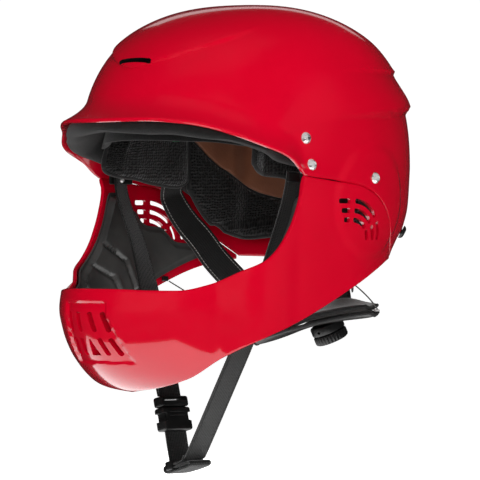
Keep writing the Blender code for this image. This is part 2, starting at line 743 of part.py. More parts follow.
def make_chin_straps(parts, cutters, looks):
    """Two webbing legs that meet at a slider, and the tail that runs through it."""
    web = looks["web"]
    width = Vector((0, 1, 0))
    heights = (0.039, 0.020, 0.0, -0.020, -0.043, -0.063, -0.081, -0.100)
    webbing("chin_strap_left", [leg_point(1, z) for z in (*heights, -0.125, STRAP_FOOT_Z)],
            width, web, parts)
    webbing("chin_strap_right", [leg_point(-1, z) for z in (*heights, BUCKLE_TOP_Z + 0.0008)],
            width, web, parts)
    webbing("chin_strap_tail", [leg_point(-1, z) for z in (BUCKLE_LOW_Z - 0.0006, -0.1470, -0.1590)],
            width, web, parts)
    pad = add_object("strap_end_pad", box_mesh("strap_end_pad", (0.027, 0.025, 0.0085),
                                               bevel=0.0015), web, parts)
    pad_z = -0.1560
    pad.matrix_world = Matrix.Translation((-0.0030, leg_point(1, pad_z).y, pad_z))
    slot = cutter_object("tail_slot", box_mesh("tail_slot", (0.0036, 0.0216, 0.030)), cutters)
    slot.matrix_world = leg_frame(-1, pad_z)
    cut(pad, slot)
    for word, side in (("left", 1), ("right", -1)):
        body = box_mesh(f"strap_anchor_{word}", (0.0022, 0.022, 0.0054), bevel=0.0006)
        bracket = add_object(f"strap_anchor_{word}", body, looks["plastic"], parts)
        top = leg_point(side, ANCHOR_Z)
        bracket.matrix_world = Matrix.Translation(top + Vector((0, 0, 0.0046)))


def make_buckle(parts, cutters, look):
    """Side-release buckle on the right leg: plug above, socket below."""
    place = leg_frame(-1, BUCKLE_SPLIT_Z)
    length = BUCKLE_SPLIT_Z - BUCKLE_LOW_Z
    socket_mesh = box_mesh("buckle_socket", (0.0100, 0.0270, length), (0, 0, -length / 2),
                           bevel=0.0015)
    socket = add_object("buckle_socket", socket_mesh, look, parts)
    socket.matrix_world = place
    pocket = box_mesh("socket_pocket", (0.0056, 0.0206, 0.0280), (0, 0, 0.0))
    hollow = cutter_object("socket_pocket", pocket, cutters)
    hollow.matrix_world = place
    cut(socket, hollow)
    bar_height = BUCKLE_TOP_Z - BUCKLE_SPLIT_Z
    bm = bmesh.new()
    bar = box_mesh("bar", (0.0096, 0.0256, bar_height), (0, 0, bar_height / 2 + GAP),
                   bevel=0.0012)
    bm.from_mesh(bar)
    bpy.data.meshes.remove(bar)
    mesh = bpy.data.meshes.new("buckle_plug")
    bm.to_mesh(mesh)
    bm.free()
    plug = add_object("buckle_plug", mesh, look, parts)
    plug.matrix_world = place
    tongue_mesh = box_mesh("plug_tongue", (0.0042, 0.0190, 0.0140), (0, 0, -0.0050))
    tongue = cutter_object("plug_tongue", tongue_mesh, cutters)
    tongue.matrix_world = place
    join = plug.modifiers.new("Tongue", "BOOLEAN")
    join.operation = "UNION"
    join.solver = "EXACT"
    join.object = tongue


def side_strap_route(side, steps):
    """Middle points and width directions of the strap that runs past the ear to the nape."""
    middles = []
    for k in range(steps + 1):
        t = k / steps
        angle = 95 + 10 * t + 24 * t * t
        z = 0.0320 - 0.0480 * t - 0.0150 * t * t
        middles.append(inside(side * angle, z, 0.0180 + 0.0055 * t))
    across = []
    for k, middle in enumerate(middles):
        ahead = (middles[min(k + 1, steps)] - middles[max(k - 1, 0)]).normalized()
        outward = Vector((middle.x, middle.y, 0)).normalized()
        across.append(ahead.cross(outward).normalized())
    return middles, across


def make_side_straps(parts, looks):
    """Webbing inside the guard that runs from above the ear down towards the nape."""
    for word, side in (("left", 1), ("right", -1)):
        middles, across = side_strap_route(side, 6)
        webbing(f"ear_strap_{word}", middles, across, looks["web"], parts)


def make_rear_bolts(parts, looks):
    """Black bolts through the lower back of the dome, with nuts inside."""
    head = [(0.0, 0.0030), (0.0035, 0.0026), (0.0048, 0.0012), (0.0048, GAP), (0.0018, GAP),
            (0.0018, -0.0061), (0.0, -0.0061)]
    nut = [(0.0021, -SHELL_T - 0.0014), (0.0045, -SHELL_T - 0.0014),
           (0.0045, -SHELL_T - 0.0032), (0.0021, -SHELL_T - 0.0032)]
    for side, word in ((1, "left"), (-1, "right")):
        place = placed_on_face(side * REAR_BOLT[0], REAR_BOLT[1])
        turned(f"rear_bolt_{word}", head, place, looks["plastic"], parts, 12)
        turned(f"rear_nut_{word}", nut, place, looks["plastic"], parts, 12, True)


# ---------------------------------------------------------------- nape cradle
def cradle_point(x, t, rise=0.0):
    """Point of the cradle: x across, t from its rear edge (0) to its front edge (1)."""
    part = x / CRADLE_HALF
    rear = 0.0950 - 0.0170 * part * part
    front = 0.0630 - 0.0020 * part * part
    reach = math.sqrt(max(0.0, 1.0 - (abs(part) / 1.04) ** 5))
    middle = (rear + front) / 2
    y = middle + (rear - front) * reach * (0.5 - t)
    z = CRADLE_Z + CRADLE_TILT * x - 0.0020 * part * part - 0.0020 * math.sin(math.pi * t)
    z += CRADLE_LIFT * (1.0 - t) ** 1.5 * math.exp(-(part / 0.55) ** 2)
    return Vector((x, y, z + rise))


def cradle_sheet(name, shrink, rise, thickness, look, parts):
    rows = []
    for r in range(6):
        t = 0.5 + (r / 5 - 0.5) * shrink
        row = []
        for k in range(19):
            x = CRADLE_HALF * shrink * (k / 9 - 1)
            row.append(cradle_point(x, t, rise))
        rows.append(row)
    rows.reverse()
    made = add_object(name, grid_mesh(name, rows), look, parts)
    thicken(made, thickness)
    return made


def reel_place():
    """Matrix on the cradle's underside, +Z out of its upper face."""
    middle = cradle_point(0.0, 0.5)
    across = cradle_point(0.001, 0.5) - cradle_point(-0.001, 0.5)
    ahead = cradle_point(0.0, 0.51) - cradle_point(0.0, 0.49)
    up = ahead.cross(across).normalized()
    if up.z < 0:
        up = -up
    turn = up.to_track_quat("Z", "Y").to_matrix().to_4x4()
    return Matrix.Translation(middle - up * (CRADLE_T + 0.0005)) @ turn


def make_cradle(parts, cutters, looks):
    """Cradle plate with its pad, hung from the back of the dome."""
    frame = cradle_sheet("cradle_frame", 1.0, 0.0, CRADLE_T, looks["plastic"], parts)
    bm = bmesh.new()
    bmesh.ops.create_cone(bm, cap_ends=True, segments=12, radius1=0.0022, radius2=0.0022,
                          depth=0.02, matrix=reel_place())
    cut(frame, cutter_from(bm, "cradle_hole", cutters))
    cradle_sheet("cradle_pad", 0.93, 0.0083, 0.0050, looks["grey"], parts)
    top = Vector((0, 0.0905, 0.0000))
    foot = Vector((0, 0.0992, CRADLE_Z + CRADLE_LIFT))
    route = [top, Vector((0, 0.0915, -0.016)), Vector((0, 0.0960, -0.032)), foot]
    webbing("cradle_hanger", route, Vector((1, 0, 0)), looks["web"], parts, 0.016)


def make_reel(parts, looks):
    """Lace reel under the cradle: housing, spool, dial and the screw that holds them."""
    housing = [(0.0026, 0.0), (0.0118, 0.0), (0.0122, -0.0010), (0.0122, -0.0062),
               (0.0104, -0.0062), (0.0104, -0.0014), (0.0026, -0.0014)]
    spool = [(0.0026, -0.0019), (0.0098, -0.0019), (0.0098, -0.0026), (0.0070, -0.0032),
             (0.0070, -0.0050), (0.0098, -0.0056), (0.0098, -0.0062), (0.0026, -0.0062)]
    dial = [(0.0026, -0.0068), (0.0118, -0.0068), (0.0124, -0.0074), (0.0124, -0.0122),
            (0.0112, -0.0134), (0.0050, -0.0138), (0.0050, -0.0122), (0.0026, -0.0122)]
    place = reel_place()
    screw = [(0.0, 0.0018), (0.0020, 0.0018), (0.0020, -0.0125), (0.0046, -0.0125),
             (0.0044, -0.0137), (0.0, -0.0139)]
    turned("reel_base", housing, place, looks["plastic"], parts, 24, True)
    turned("reel_spool", spool, place, looks["plastic"], parts, 20, True)
    turned("reel_dial", dial, place, looks["plastic"], parts, 24, True)
    turned("reel_screw", screw, place, looks["steel"], parts, 12)


def make_laces(parts, looks):
    """Thin laces from the cradle's wing tips up to guides inside the guard."""
    for word, side in (("left", 1), ("right", -1)):
        tip = cradle_point(side * 0.0525, 0.5) + Vector((side * 0.0070, 0, 0.0035))
        guide = Vector((side * 0.0905, 0.0125, -0.0295))
        curve = bpy.data.curves.new(f"lace_{word}", "CURVE")
        curve.dimensions = "3D"
        line = curve.splines.new("POLY")
        points = between(guide, tip, 12)
        line.points.add(len(points) - 1)
        for spot, point in zip(line.points, points):
            spot.co = (*point, 1.0)
        curve.bevel_depth = LACE_R
        curve.bevel_resolution = 2
        curve.use_fill_caps = True
        made = bpy.data.objects.new(f"lace_{word}", curve)
        parts.objects.link(made)
        curve.materials.append(looks["plastic"])
        block = box_mesh(f"lace_guide_{word}", (0.0034, 0.0046, 0.0036), bevel=0.0006)
        holder = add_object(f"lace_guide_{word}", block, looks["plastic"], parts)
        away = (guide - tip).normalized()
        holder.matrix_world = Matrix.Translation(guide + away * 0.0034)


# ---------------------------------------------------------------- main
def main():
    clear_scene()
    parts = collection("water_helmet")
    cutters = collection("water_helmet_cutters")
    looks = {
        "red": material("gloss_red", RED, 0.12),
        "foam": material("foam", FOAM, 0.8),
        "mesh": material("spacer_mesh", MESH_BLACK, 0.9),
        "grey": material("grey_eva", GREY_EVA, 0.5),
        "brown": material("brown_liner", BROWN, 0.6),
        "web": material("webbing", WEB_BLACK, 0.7),
        "steel": material("steel", STEEL, 0.25, 1.0),
        "plastic": material("black_plastic", PLASTIC, 0.4),
    }
    make_shell(parts, cutters, looks["red"])
    make_guard(parts, cutters, looks["red"])
    make_rivets(parts, looks["steel"], looks["steel"])
    make_liner(parts, looks["foam"])
    make_pads(parts, looks)
    make_chin_pads(parts, looks["grey"])
    make_chin_straps(parts, cutters, looks)
    make_buckle(parts, cutters, looks["plastic"])
    make_side_straps(parts, looks)
    make_rear_bolts(parts, looks)
    make_cradle(parts, cutters, looks)
    make_reel(parts, looks)
    make_laces(parts, looks)
    tab = add_object("size_tab", box_mesh("size_tab", (0.0060, 0.0050, 0.0010)),
                     material("green_tab", GREEN, 0.6), parts)
    tab.matrix_world = placed_on_face(-88, 0.0740, 0.0348)


main()
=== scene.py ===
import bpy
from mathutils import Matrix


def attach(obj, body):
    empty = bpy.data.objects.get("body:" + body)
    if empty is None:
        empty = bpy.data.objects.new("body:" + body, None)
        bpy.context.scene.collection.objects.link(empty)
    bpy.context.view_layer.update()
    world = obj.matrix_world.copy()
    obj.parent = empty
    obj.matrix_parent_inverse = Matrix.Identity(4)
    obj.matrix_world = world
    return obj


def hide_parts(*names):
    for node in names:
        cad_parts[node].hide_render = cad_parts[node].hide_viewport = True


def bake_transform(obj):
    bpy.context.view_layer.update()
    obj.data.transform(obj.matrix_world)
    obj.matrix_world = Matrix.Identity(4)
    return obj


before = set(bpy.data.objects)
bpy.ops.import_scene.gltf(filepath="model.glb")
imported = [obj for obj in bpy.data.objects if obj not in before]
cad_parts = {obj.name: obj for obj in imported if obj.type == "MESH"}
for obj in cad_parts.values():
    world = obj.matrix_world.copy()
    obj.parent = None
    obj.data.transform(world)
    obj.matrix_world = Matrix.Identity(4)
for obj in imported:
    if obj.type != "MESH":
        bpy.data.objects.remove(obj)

"""Looks of the full-face whitewater helmet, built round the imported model."""
import math

import bmesh
import bpy
from mathutils import Matrix, Vector

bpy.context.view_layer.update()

# ---------------------------------------------------------------- sizes shared with the CAD
CROWN_BASE_Z = 0.050        # height where the dome starts to close
CROWN_RISE = 0.114          # from there to the top of the crown
HALF_WIDTH = 0.102          # dome half width
DOME_FRONT = 0.128          # dome reach to the front, above the brim
DOME_REAR = 0.128           # dome reach to the rear
SIDE_FULLNESS = 2.85        # superellipse powers of the dome's profiles
LENGTH_FULLNESS = 2.3
SHELL_T = 0.0030            # wall of the dome
GUARD_T = 0.0030            # wall of the face guard
SEAM_GAP = 0.0004
FLANGE_DROP = 0.0038        # the guard's flange lies this far below the dome's face
BRIM_REACH = 0.022          # how far the brim stands out at its middle
BRIM_HEIGHT = 0.019         # height of the fillet between dome and brim
LINER_T = 0.012
LINER_GAP = 0.0042          # depth of the liner's outer face below the dome's
LINER_STEP = 0.0066         # how much deeper it lies behind the guard's flange
WEB_WIDTH = 0.020           # webbing
WEB_T = 0.0016
GAP = 0.0003                # clearance between neighbouring pieces

# Stations below the dome: height, half width, reach to the front, reach to the rear
STATIONS = (
    (-0.108, 0.072, 0.090, 0.096),
    (-0.103, 0.082, 0.112, 0.097),
    (-0.097, 0.088, 0.124, 0.098),
    (-0.088, 0.0925, 0.1355, 0.099),
    (-0.075, 0.0955, 0.147, 0.099),
    (-0.062, 0.0965, 0.154, 0.099),
    (-0.047, 0.097, 0.158, 0.099),
    (-0.032, 0.0975, 0.155, 0.100),
    (-0.013, 0.0985, 0.149, 0.102),
    (0.000, 0.0995, 0.146, 0.111),
    (0.008, 0.1005, 0.144, 0.1185),
    (0.025, 0.1015, 0.140, 0.1255),
    (0.050, 0.102, 0.134, 0.128),
)

# Edge curves: angle from the front in degrees, height in metres
OPENING_TOP = ((0, 0.0805), (15, 0.0808), (26, 0.079), (33, 0.0764), (42, 0.0705),
               (50, 0.064), (60, 0.055), (66, 0.0434))
SEAM = ((66, 0.0434), (71, 0.0421), (82, 0.0402), (94, 0.0377), (103, 0.033),
        (110, 0.0255), (114.6, 0.0173), (119, 0.0055), (124.5, -0.0024), (132, -0.012))
REAR_EDGE = ((132, -0.012), (150, -0.0128), (180, -0.013))
GUARD_LOW = ((0, -0.105), (12, -0.102), (25, -0.095), (38, -0.079), (53, -0.065),
             (62, -0.058), (81, -0.043), (96.5, -0.031), (115, -0.019), (126, -0.0145),
             (133, -0.0135))
# The guard's upper edge, each point paired with the angle where its column ends below
GUARD_TOP = ((0, -0.032, 0), (10, -0.0324, 10), (18, -0.0333, 18), (25, -0.0335, 25),
             (33, -0.0298, 32), (43, -0.0208, 41), (51, -0.0140, 47), (55.3, -0.0067, 51),
             (59, 0.0030, 54), (61.5, 0.0120, 57), (63.5, 0.0220, 60), (65, 0.0320, 63),
             (66, 0.0434, 66), (67, 0.0431, 67), (68, 0.0429, 68), (71, 0.0421, 71),
             (74, 0.0416, 74), (78, 0.0409, 78), (82, 0.0402, 82),
             (88, 0.0391, 88), (94, 0.0377, 94), (103, 0.0330, 103), (110, 0.0255, 110),
             (114.6, 0.0173, 115), (119, 0.0055, 119.5), (124.5, -0.0024, 125),
             (131, -0.0105, 131))
LINER_EDGE = ((0, 0.0735), (20, 0.0725), (40, 0.066), (55, 0.058), (62, 0.053), (70, 0.050),
              (80, 0.045), (95, 0.041), (108, 0.030), (118, 0.018), (132, 0.0165),
              (155, 0.0165), (170, 0.006), (180, 0.004))
RIVETS = ((67.0, 0.0690), (69.0, 0.0510), (103.4, 0.0426))
RIVET_HEAD_R = 0.0040
RIVET_SHANK_R = 0.0017

REAR_BOLT = (143.0, 0.0060)   # angle and height of the black bolts at the back
CRADLE_HALF = 0.058         # half the cradle's span
CRADLE_Z = -0.0590
CRADLE_TILT = 0.19          # the cradle hangs askew: rise per metre across
CRADLE_LIFT = 0.0120        # how far its rear edge stands above its front edge at the middle
CRADLE_T = 0.0022
LACE_R = 0.0005


# ---------------------------------------------------------------- numbers and curves
def smooth(x, low, high):
    """0 below low, 1 above high, a smooth step between."""
    t = min(1.0, max(0.0, (x - low) / (high - low)))
    return t * t * (3.0 - 2.0 * t)


def along(table, x, column=1):
    """Smooth, monotone reading of a table of rows sorted by their first value."""
    if x <= table[0][0]:
        return table[0][column]
    if x >= table[-1][0]:
        return table[-1][column]
    i = 0
    while table[i + 1][0] < x:
        i += 1

    def slope(k):
        return (table[k + 1][column] - table[k][column]) / (table[k + 1][0] - table[k][0])

    def tangent(k):
        if k == 0:
            return slope(0)
        if k == len(table) - 1:
            return slope(k - 1)
        before = slope(k - 1)
        after = slope(k)
        if before * after <= 0:
            return 0.0
        return 2.0 * before * after / (before + after)

    h = table[i + 1][0] - table[i][0]
    t = (x - table[i][0]) / h
    m0 = tangent(i) * h
    m1 = tangent(i + 1) * h
    return ((2 * t ** 3 - 3 * t ** 2 + 1) * table[i][column] + (t ** 3 - 2 * t ** 2 + t) * m0
            + (3 * t ** 2 - 2 * t ** 3) * table[i + 1][column] + (t ** 3 - t ** 2) * m1)


def shell_edge(angle):
    """Height of the dome's lower edge at an angle from the front, in degrees."""
    if angle < 66:
        return along(OPENING_TOP, angle)
    if angle < 132:
        return along(SEAM, angle)
    return along(REAR_EDGE, angle)


def crown_height(q):
    """Height for a climb q: 1 is the crown, 0 the dome's base, below 0 the walls."""
    if q <= 0:
        return CROWN_BASE_Z + 0.15 * q
    return CROWN_BASE_Z + CROWN_RISE * math.sin(min(q, 1.0) * math.pi / 2) ** 0.8


def climb(z):
    """The q that crown_height turns into this height."""
    if z <= CROWN_BASE_Z:
        return (z - CROWN_BASE_Z) / 0.15
    part = min(1.0, (z - CROWN_BASE_Z) / CROWN_RISE)
    return math.asin(part ** 1.25) * 2 / math.pi


# ---------------------------------------------------------------- the helmet's outer face
def relief(angle, z):
    """Raised crown, rear steps and ear bulge, as height over the plain face."""
    raised = 0.0
    front_line = 0.1176 + 0.0006 * angle * angle / (angle + 6.0)
    front = smooth(z, front_line - 0.0012, front_line + 0.0012)
    raised += 0.0024 * front * (1.0 - smooth(angle, 26, 60)) * (1.0 - smooth(z, 0.135, 0.162))
    rear_line = 0.1165
    rear = smooth(z, rear_line - 0.001, rear_line + 0.002)
    raised += 0.0030 * rear * smooth(angle, 88, 118) * (1.0 - smooth(z, 0.135, 0.162))
    step_line = along(((60, 0.080), (108, 0.0855), (147, 0.0905), (180, 0.092)), angle)
    step = smooth(z, step_line - 0.001, step_line + 0.0025)
    step *= 1.0 - 0.8 * smooth(z, step_line + 0.004, 0.1155)
    raised += 0.0050 * step * smooth(angle, 66, 140) * (1.0 - smooth(z, 0.116, 0.121))
    ear = math.hypot((angle - 104) * 0.00175, z - 0.026)
    raised += 0.0012 * (1.0 - smooth(ear, 0.034, 0.042))
    return raised


def grille_recess(x, z):
    """Depth of the recessed panel round the chin grille."""
    half = 0.0195 + 0.22 * max(0.0, -0.050 - z)
    side = 1.0 - smooth(abs(x), half - 0.0012, half + 0.0012)
    height = smooth(z, -0.0845, -0.0815) * (1.0 - smooth(z, -0.0430, -0.0405))
    return 0.0022 * side * height


def outer_point(angle, z, features=True, raised=True):
    """Point of the outer face. angle in degrees from the front, negative on the right;
    raised adds the relief."""
    turn = math.radians(abs(angle))
    side = -1.0 if angle < 0 else 1.0
    if z >= CROWN_BASE_Z:
        part = min(1.0, (z - CROWN_BASE_Z) / CROWN_RISE)
        close_side = max(0.0, 1.0 - part ** SIDE_FULLNESS) ** (1 / SIDE_FULLNESS)
        close_long = max(0.0, 1.0 - part ** LENGTH_FULLNESS) ** (1 / LENGTH_FULLNESS)
        width = HALF_WIDTH * close_side
        ahead = (DOME_FRONT + 0.006 * (1.0 - smooth(z, 0.050, 0.080))) * close_long
        behind = DOME_REAR * close_long
    else:
        width = along(STATIONS, z, 1)
        ahead = along(STATIONS, z, 2)
        behind = along(STATIONS, z, 3)
    if width < 1e-7:
        return Vector((0.0, 0.0, z))
    c = math.cos(turn)
    s = math.sin(turn)
    power = 2.0
    if c > 0:
        cheek = smooth(abs(angle), 34, 58) * (1.0 - 0.3 * smooth(abs(angle), 58, 66))
        power += 1.0 * cheek * (1.0 - smooth(z, 0.050, 0.110))
        power -= 0.15 * (1.0 - smooth(z, -0.01, 0.08))
    reach = ahead if c > 0 else behind
    radius = ((s / width) ** power + (abs(c) / reach) ** power) ** (-1.0 / power)
    if features:
        radius += relief(abs(angle), z) if raised else 0.0
        rise = z - shell_edge(abs(angle))
        if rise < BRIM_HEIGHT and abs(angle) < 90 and z > 0.035:
            flare = max(0.0, c) ** 1.6 * max(0.0, 1.0 - max(0.0, rise) / BRIM_HEIGHT) ** 2
            radius += BRIM_REACH * flare * smooth(z, 0.035, 0.050)
        if z < 0 and abs(angle) < 30:
            radius -= grille_recess(radius * s, z)
    return Vector((side * radius * s, -radius * c, z))


def face_normal(angle, z, features=False, raised=True, da=0.25, dz=0.0004):
    """Outward normal of the outer face, from points da degrees and dz metres either way."""
    def spot(at, height):
        return outer_point(at, height, features, raised)

    top = min(z + dz, CROWN_BASE_Z + CROWN_RISE * 0.9995)
    across = spot(angle + da, z) - spot(angle - da, z)
    normal = across.cross(spot(angle, top) - spot(angle, z - dz))
    return normal.normalized() if normal.length > 1e-12 else Vector((0, 0, 1))


def inside(angle, z, depth, features=False):
    """Point at a depth below the outer face."""
    return outer_point(angle, z, features) - face_normal(angle, z) * depth


# ---------------------------------------------------------------- camera and light
CAMERA_TURN = 45.0          # degrees from the front towards the wearer's left
CAMERA_DISTANCE = 3.0
VIEW_WIDTH = 0.336          # metres across the picture at the helmet's middle
VIEW_SHIFT = 0.0042         # the helmet sits this far right of the picture's middle
SENSOR = 36.0
FLOOR_Z = -0.30
ROOM_LIGHT = 0.10           # the room's level, for the helmet's fill
ROOM_SHINE = 0.015          # and as its gloss sees it
BACKDROP = 1.05             # and as the camera sees it


def make_camera():
    turn = math.radians(CAMERA_TURN)
    towards = Vector((math.sin(turn), -math.cos(turn), 0))
    right = Vector((math.cos(turn), math.sin(turn), 0))
    data = bpy.data.cameras.new("camera")
    data.sensor_width = SENSOR
    data.lens = SENSOR * CAMERA_DISTANCE / VIEW_WIDTH
    data.clip_end = 100
    camera = bpy.data.objects.new("camera", data)
    bpy.context.scene.collection.objects.link(camera)
    camera.location = towards * CAMERA_DISTANCE - right * VIEW_SHIFT
    camera.rotation_euler = (math.radians(90), 0, turn)
    bpy.context.scene.camera = camera


def softbox(name, place, target, size, level, glossy=True, diffuse=True):
    """Soft light of a given level at the helmet, for its reflections or its fill or both."""
    data = bpy.data.lights.new(name, "AREA")
    data.shape = "RECTANGLE"
    data.size, data.size_y = size
    lamp = bpy.data.objects.new(name, data)
    bpy.context.scene.collection.objects.link(lamp)
    lamp.location = place
    lamp.rotation_euler = (Vector(target) - Vector(place)).to_track_quat("-Z", "Y").to_euler()
    distance = (Vector(target) - Vector(place)).length
    data.energy = level * math.pi ** 2 * distance ** 2
    lamp.visible_camera = False
    lamp.visible_glossy = glossy
    lamp.visible_diffuse = diffuse


def make_studio():
    """White seamless studio: the camera sees white, the helmet a dimmer room."""
    bpy.context.scene.view_settings.view_transform = "Standard"
    world = bpy.data.worlds.new("studio")
    bpy.context.scene.world = world
    world.use_nodes = True
    tree = world.node_tree
    background = tree.nodes["Background"]
    background.inputs["Color"].default_value = (1, 1, 1, 1)
    path = tree.nodes.new("ShaderNodeLightPath")
    level = tree.nodes.new("ShaderNodeMapRange")
    level.inputs["To Max"].default_value = BACKDROP
    shine = tree.nodes.new("ShaderNodeMapRange")
    shine.inputs["To Min"].default_value = ROOM_LIGHT
    shine.inputs["To Max"].default_value = ROOM_SHINE
    tree.links.new(path.outputs["Is Glossy Ray"], shine.inputs["Value"])
    tree.links.new(shine.outputs["Result"], level.inputs["To Min"])
    tree.links.new(path.outputs["Is Camera Ray"], level.inputs["Value"])
    tree.links.new(level.outputs["Result"], background.inputs["Strength"])
    middle = (0, -0.02, 0.02)
    softbox("front_fill", (1.5, -2.2, 0.7), middle, (2.4, 2.0), 0.66, False)
    softbox("side_fill", (2.4, 0.9, 0.5), middle, (1.6, 2.0), 0.30, False)
    softbox("top_fill", (0.2, -0.5, 2.4), middle, (2.0, 2.0), 0.30, False)
    softbox("back_fill", (-1.7, 2.2, 0.9), middle, (2.0, 2.0), 0.50, False)
    softbox("top_rim", (-1.3, 1.5, 1.0), middle, (1.2, 0.3), 0.014)
    softbox("low_card", (-0.06, -0.06, -0.44), (-0.06, -0.059, 0), (1.1, 0.78), 3.2, True, False)
    mesh = bpy.data.meshes.new("studio_floor")
    half = 30.0
    mesh.from_pydata([(-half, -half, FLOOR_Z), (half, -half, FLOOR_Z), (half, half, FLOOR_Z),
                      (-half, half, FLOOR_Z)], [], [(0, 1, 2, 3)])
    floor = bpy.data.objects.new("studio_floor", mesh)
    bpy.context.scene.collection.objects.link(floor)
    look = bpy.data.materials.new("studio_white")
    look.use_nodes = True
    shader = look.node_tree.nodes["Principled BSDF"]
    shader.inputs["Base Color"].default_value = (0.92, 0.92, 0.92, 1)
    shader.inputs["Roughness"].default_value = 0.9
    shader.inputs["Specular IOR Level"].default_value = 0.0
    shader.inputs["Emission Color"].default_value = (1, 1, 1, 1)
    floor_path = look.node_tree.nodes.new("ShaderNodeLightPath")
    glow = look.node_tree.nodes.new("ShaderNodeMapRange")
    glow.inputs["To Min"].default_value = 0.05
    glow.inputs["To Max"].default_value = 0.95
    look.node_tree.links.new(floor_path.outputs["Is Camera Ray"], glow.inputs["Value"])
    look.node_tree.links.new(glow.outputs["Result"], shader.inputs["Emission Strength"])
    mesh.materials.append(look)
    floor.visible_glossy = False


# ---------------------------------------------------------------- materials
class Look:
    """A Principled material with helpers for its procedural nodes."""

    def __init__(self, name, colour, roughness, metallic=0.0, **sockets):
        self.material = bpy.data.materials.new(name)
        self.material.use_nodes = True
        self.tree = self.material.node_tree
        self.shader = self.tree.nodes["Principled BSDF"]
        self.shader.inputs["Base Color"].default_value = (*colour, 1)
        self.shader.inputs["Roughness"].default_value = roughness
        self.shader.inputs["Metallic"].default_value = metallic
        for socket, value in sockets.items():
            self.shader.inputs[socket.replace("_", " ")].default_value = value
        self.height = None

    def node(self, kind, **values):
        made = self.tree.nodes.new(kind)
        for key, value in values.items():
            if hasattr(made, key):
                setattr(made, key, value)
            else:
                made.inputs[key.replace("_", " ")].default_value = value
        return made

    def link(self, out, socket):
        self.tree.links.new(out, socket)

    def place(self, kind="Object"):
        return self.node("ShaderNodeTexCoord").outputs[kind]

    def noise(self, scale, detail=4.0, roughness=0.55, coord=None, stretch=None):
        made = self.node("ShaderNodeTexNoise", Scale=scale, Detail=detail, Roughness=roughness)
        spot = coord or self.place()
        if stretch:
            mapping = self.node("ShaderNodeMapping")
            mapping.inputs["Scale"].default_value = stretch
            self.link(spot, mapping.inputs["Vector"])
            spot = mapping.outputs["Vector"]
        self.link(spot, made.inputs["Vector"])
        return made.outputs["Fac"]

    def ramp(self, value, stops):
        made = self.node("ShaderNodeValToRGB")
        band = made.color_ramp
        while len(band.elements) < len(stops):
            band.elements.new(0.5)
        for element, (spot, colour) in zip(band.elements, stops):
            element.position = spot
            element.color = (*colour, 1) if len(colour) == 3 else colour
        self.link(value, made.inputs["Fac"])
        return made.outputs["Color"]

    def colour_from(self, value, low, high, start=0.3, end=0.7):
        self.link(self.ramp(value, ((start, low), (end, high))), self.shader.inputs["Base Color"])

    def rough_from(self, value, low, high, start=0.3, end=0.7):
        made = self.node("ShaderNodeMapRange", From_Min=start, From_Max=end, To_Min=low,
                         To_Max=high)
        self.link(value, made.inputs["Value"])
        self.link(made.outputs["Result"], self.shader.inputs["Roughness"])

    def math(self, operation, a, b=None, clamp=False):
        made = self.node("ShaderNodeMath", operation=operation, use_clamp=clamp)
        for socket, value in zip(made.inputs, (a, b)):
            if value is None:
                continue
            if isinstance(value, (int, float)):
                socket.default_value = value
            else:
                self.link(value, socket)
        return made.outputs[0]

    def bump(self, value, strength, distance):
        made = self.node("ShaderNodeBump", Strength=strength, Distance=distance)
        self.link(value, made.inputs["Height"])
        if self.height is not None:
            self.link(self.height, made.inputs["Normal"])
        self.height = made.outputs["Normal"]
        self.link(self.height, self.shader.inputs["Normal"])


def red_look():
    look = Look("red_gelcoat", (0.68, 0.0003, 0.018), 0.22, Coat_Weight=0.6, Coat_Roughness=0.02,
                Specular_IOR_Level=0.3)
    tint = look.noise(9.0, 3.0)
    look.colour_from(tint, (0.66, 0.0002, 0.017), (0.72, 0.0004, 0.021))
    look.rough_from(look.noise(160.0, 5.0), 0.12, 0.20)
    look.bump(look.noise(420.0, 2.0), 0.05, 0.0004)
    return look.material


def foam_look(name="liner_foam", low=(0.003, 0.003, 0.003), high=(0.009, 0.009, 0.0087)):
    look = Look(name, low, 0.85, Sheen_Weight=0.15, Sheen_Roughness=0.6)
    cells = look.node("ShaderNodeTexVoronoi", Scale=1100.0)
    look.link(look.place(), cells.inputs["Vector"])
    look.colour_from(look.noise(240.0, 6.0), low, high)
    look.bump(cells.outputs["Distance"], 0.45, 0.0005)
    look.bump(look.noise(60.0, 4.0), 0.15, 0.0008)
    return look.material


def mesh_look():
    """3D spacer mesh: rows of small raised knots with holes between, on the pad's UV; the holes
    are coloured darker as painted shade.
    """
    look = Look("spacer_mesh", (0.008, 0.008, 0.008), 0.8, Sheen_Weight=0.35,
                Sheen_Roughness=0.4)
    cells = look.node("ShaderNodeTexVoronoi", Scale=430.0, Randomness=0.48, distance="EUCLIDEAN")
    cells.voronoi_dimensions = "2D"
    look.link(look.place("UV"), cells.inputs["Vector"])
    hole_depth_and_shade = cells.outputs["Distance"]
    # Painted shade: the holes between the knots are coloured darker than the knots.
    look.colour_from(hole_depth_and_shade, (0.0006, 0.0006, 0.0006), (0.020, 0.020, 0.0195), 0.22, 0.60)
    look.rough_from(look.noise(90.0), 0.6, 0.9)
    look.bump(hole_depth_and_shade, 0.9, 0.0012)
    return look.material


def eva_look():
    look = Look("moulded_eva", (0.085, 0.085, 0.082), 0.42, Specular_IOR_Level=0.6)
    look.colour_from(look.noise(35.0, 5.0), (0.040, 0.040, 0.039), (0.082, 0.082, 0.079))
    look.rough_from(look.noise(120.0, 6.0), 0.28, 0.42)
    look.bump(look.noise(900.0, 3.0), 0.20, 0.0003)
    return look.material


def cradle_look():
    look = Look("cradle_fabric", (0.05, 0.045, 0.042), 0.75, Sheen_Weight=0.4)
    look.colour_from(look.noise(700.0, 3.0), (0.022, 0.020, 0.019), (0.080, 0.073, 0.066))
    look.bump(look.noise(900.0, 3.0), 0.5, 0.0004)
    return look.material


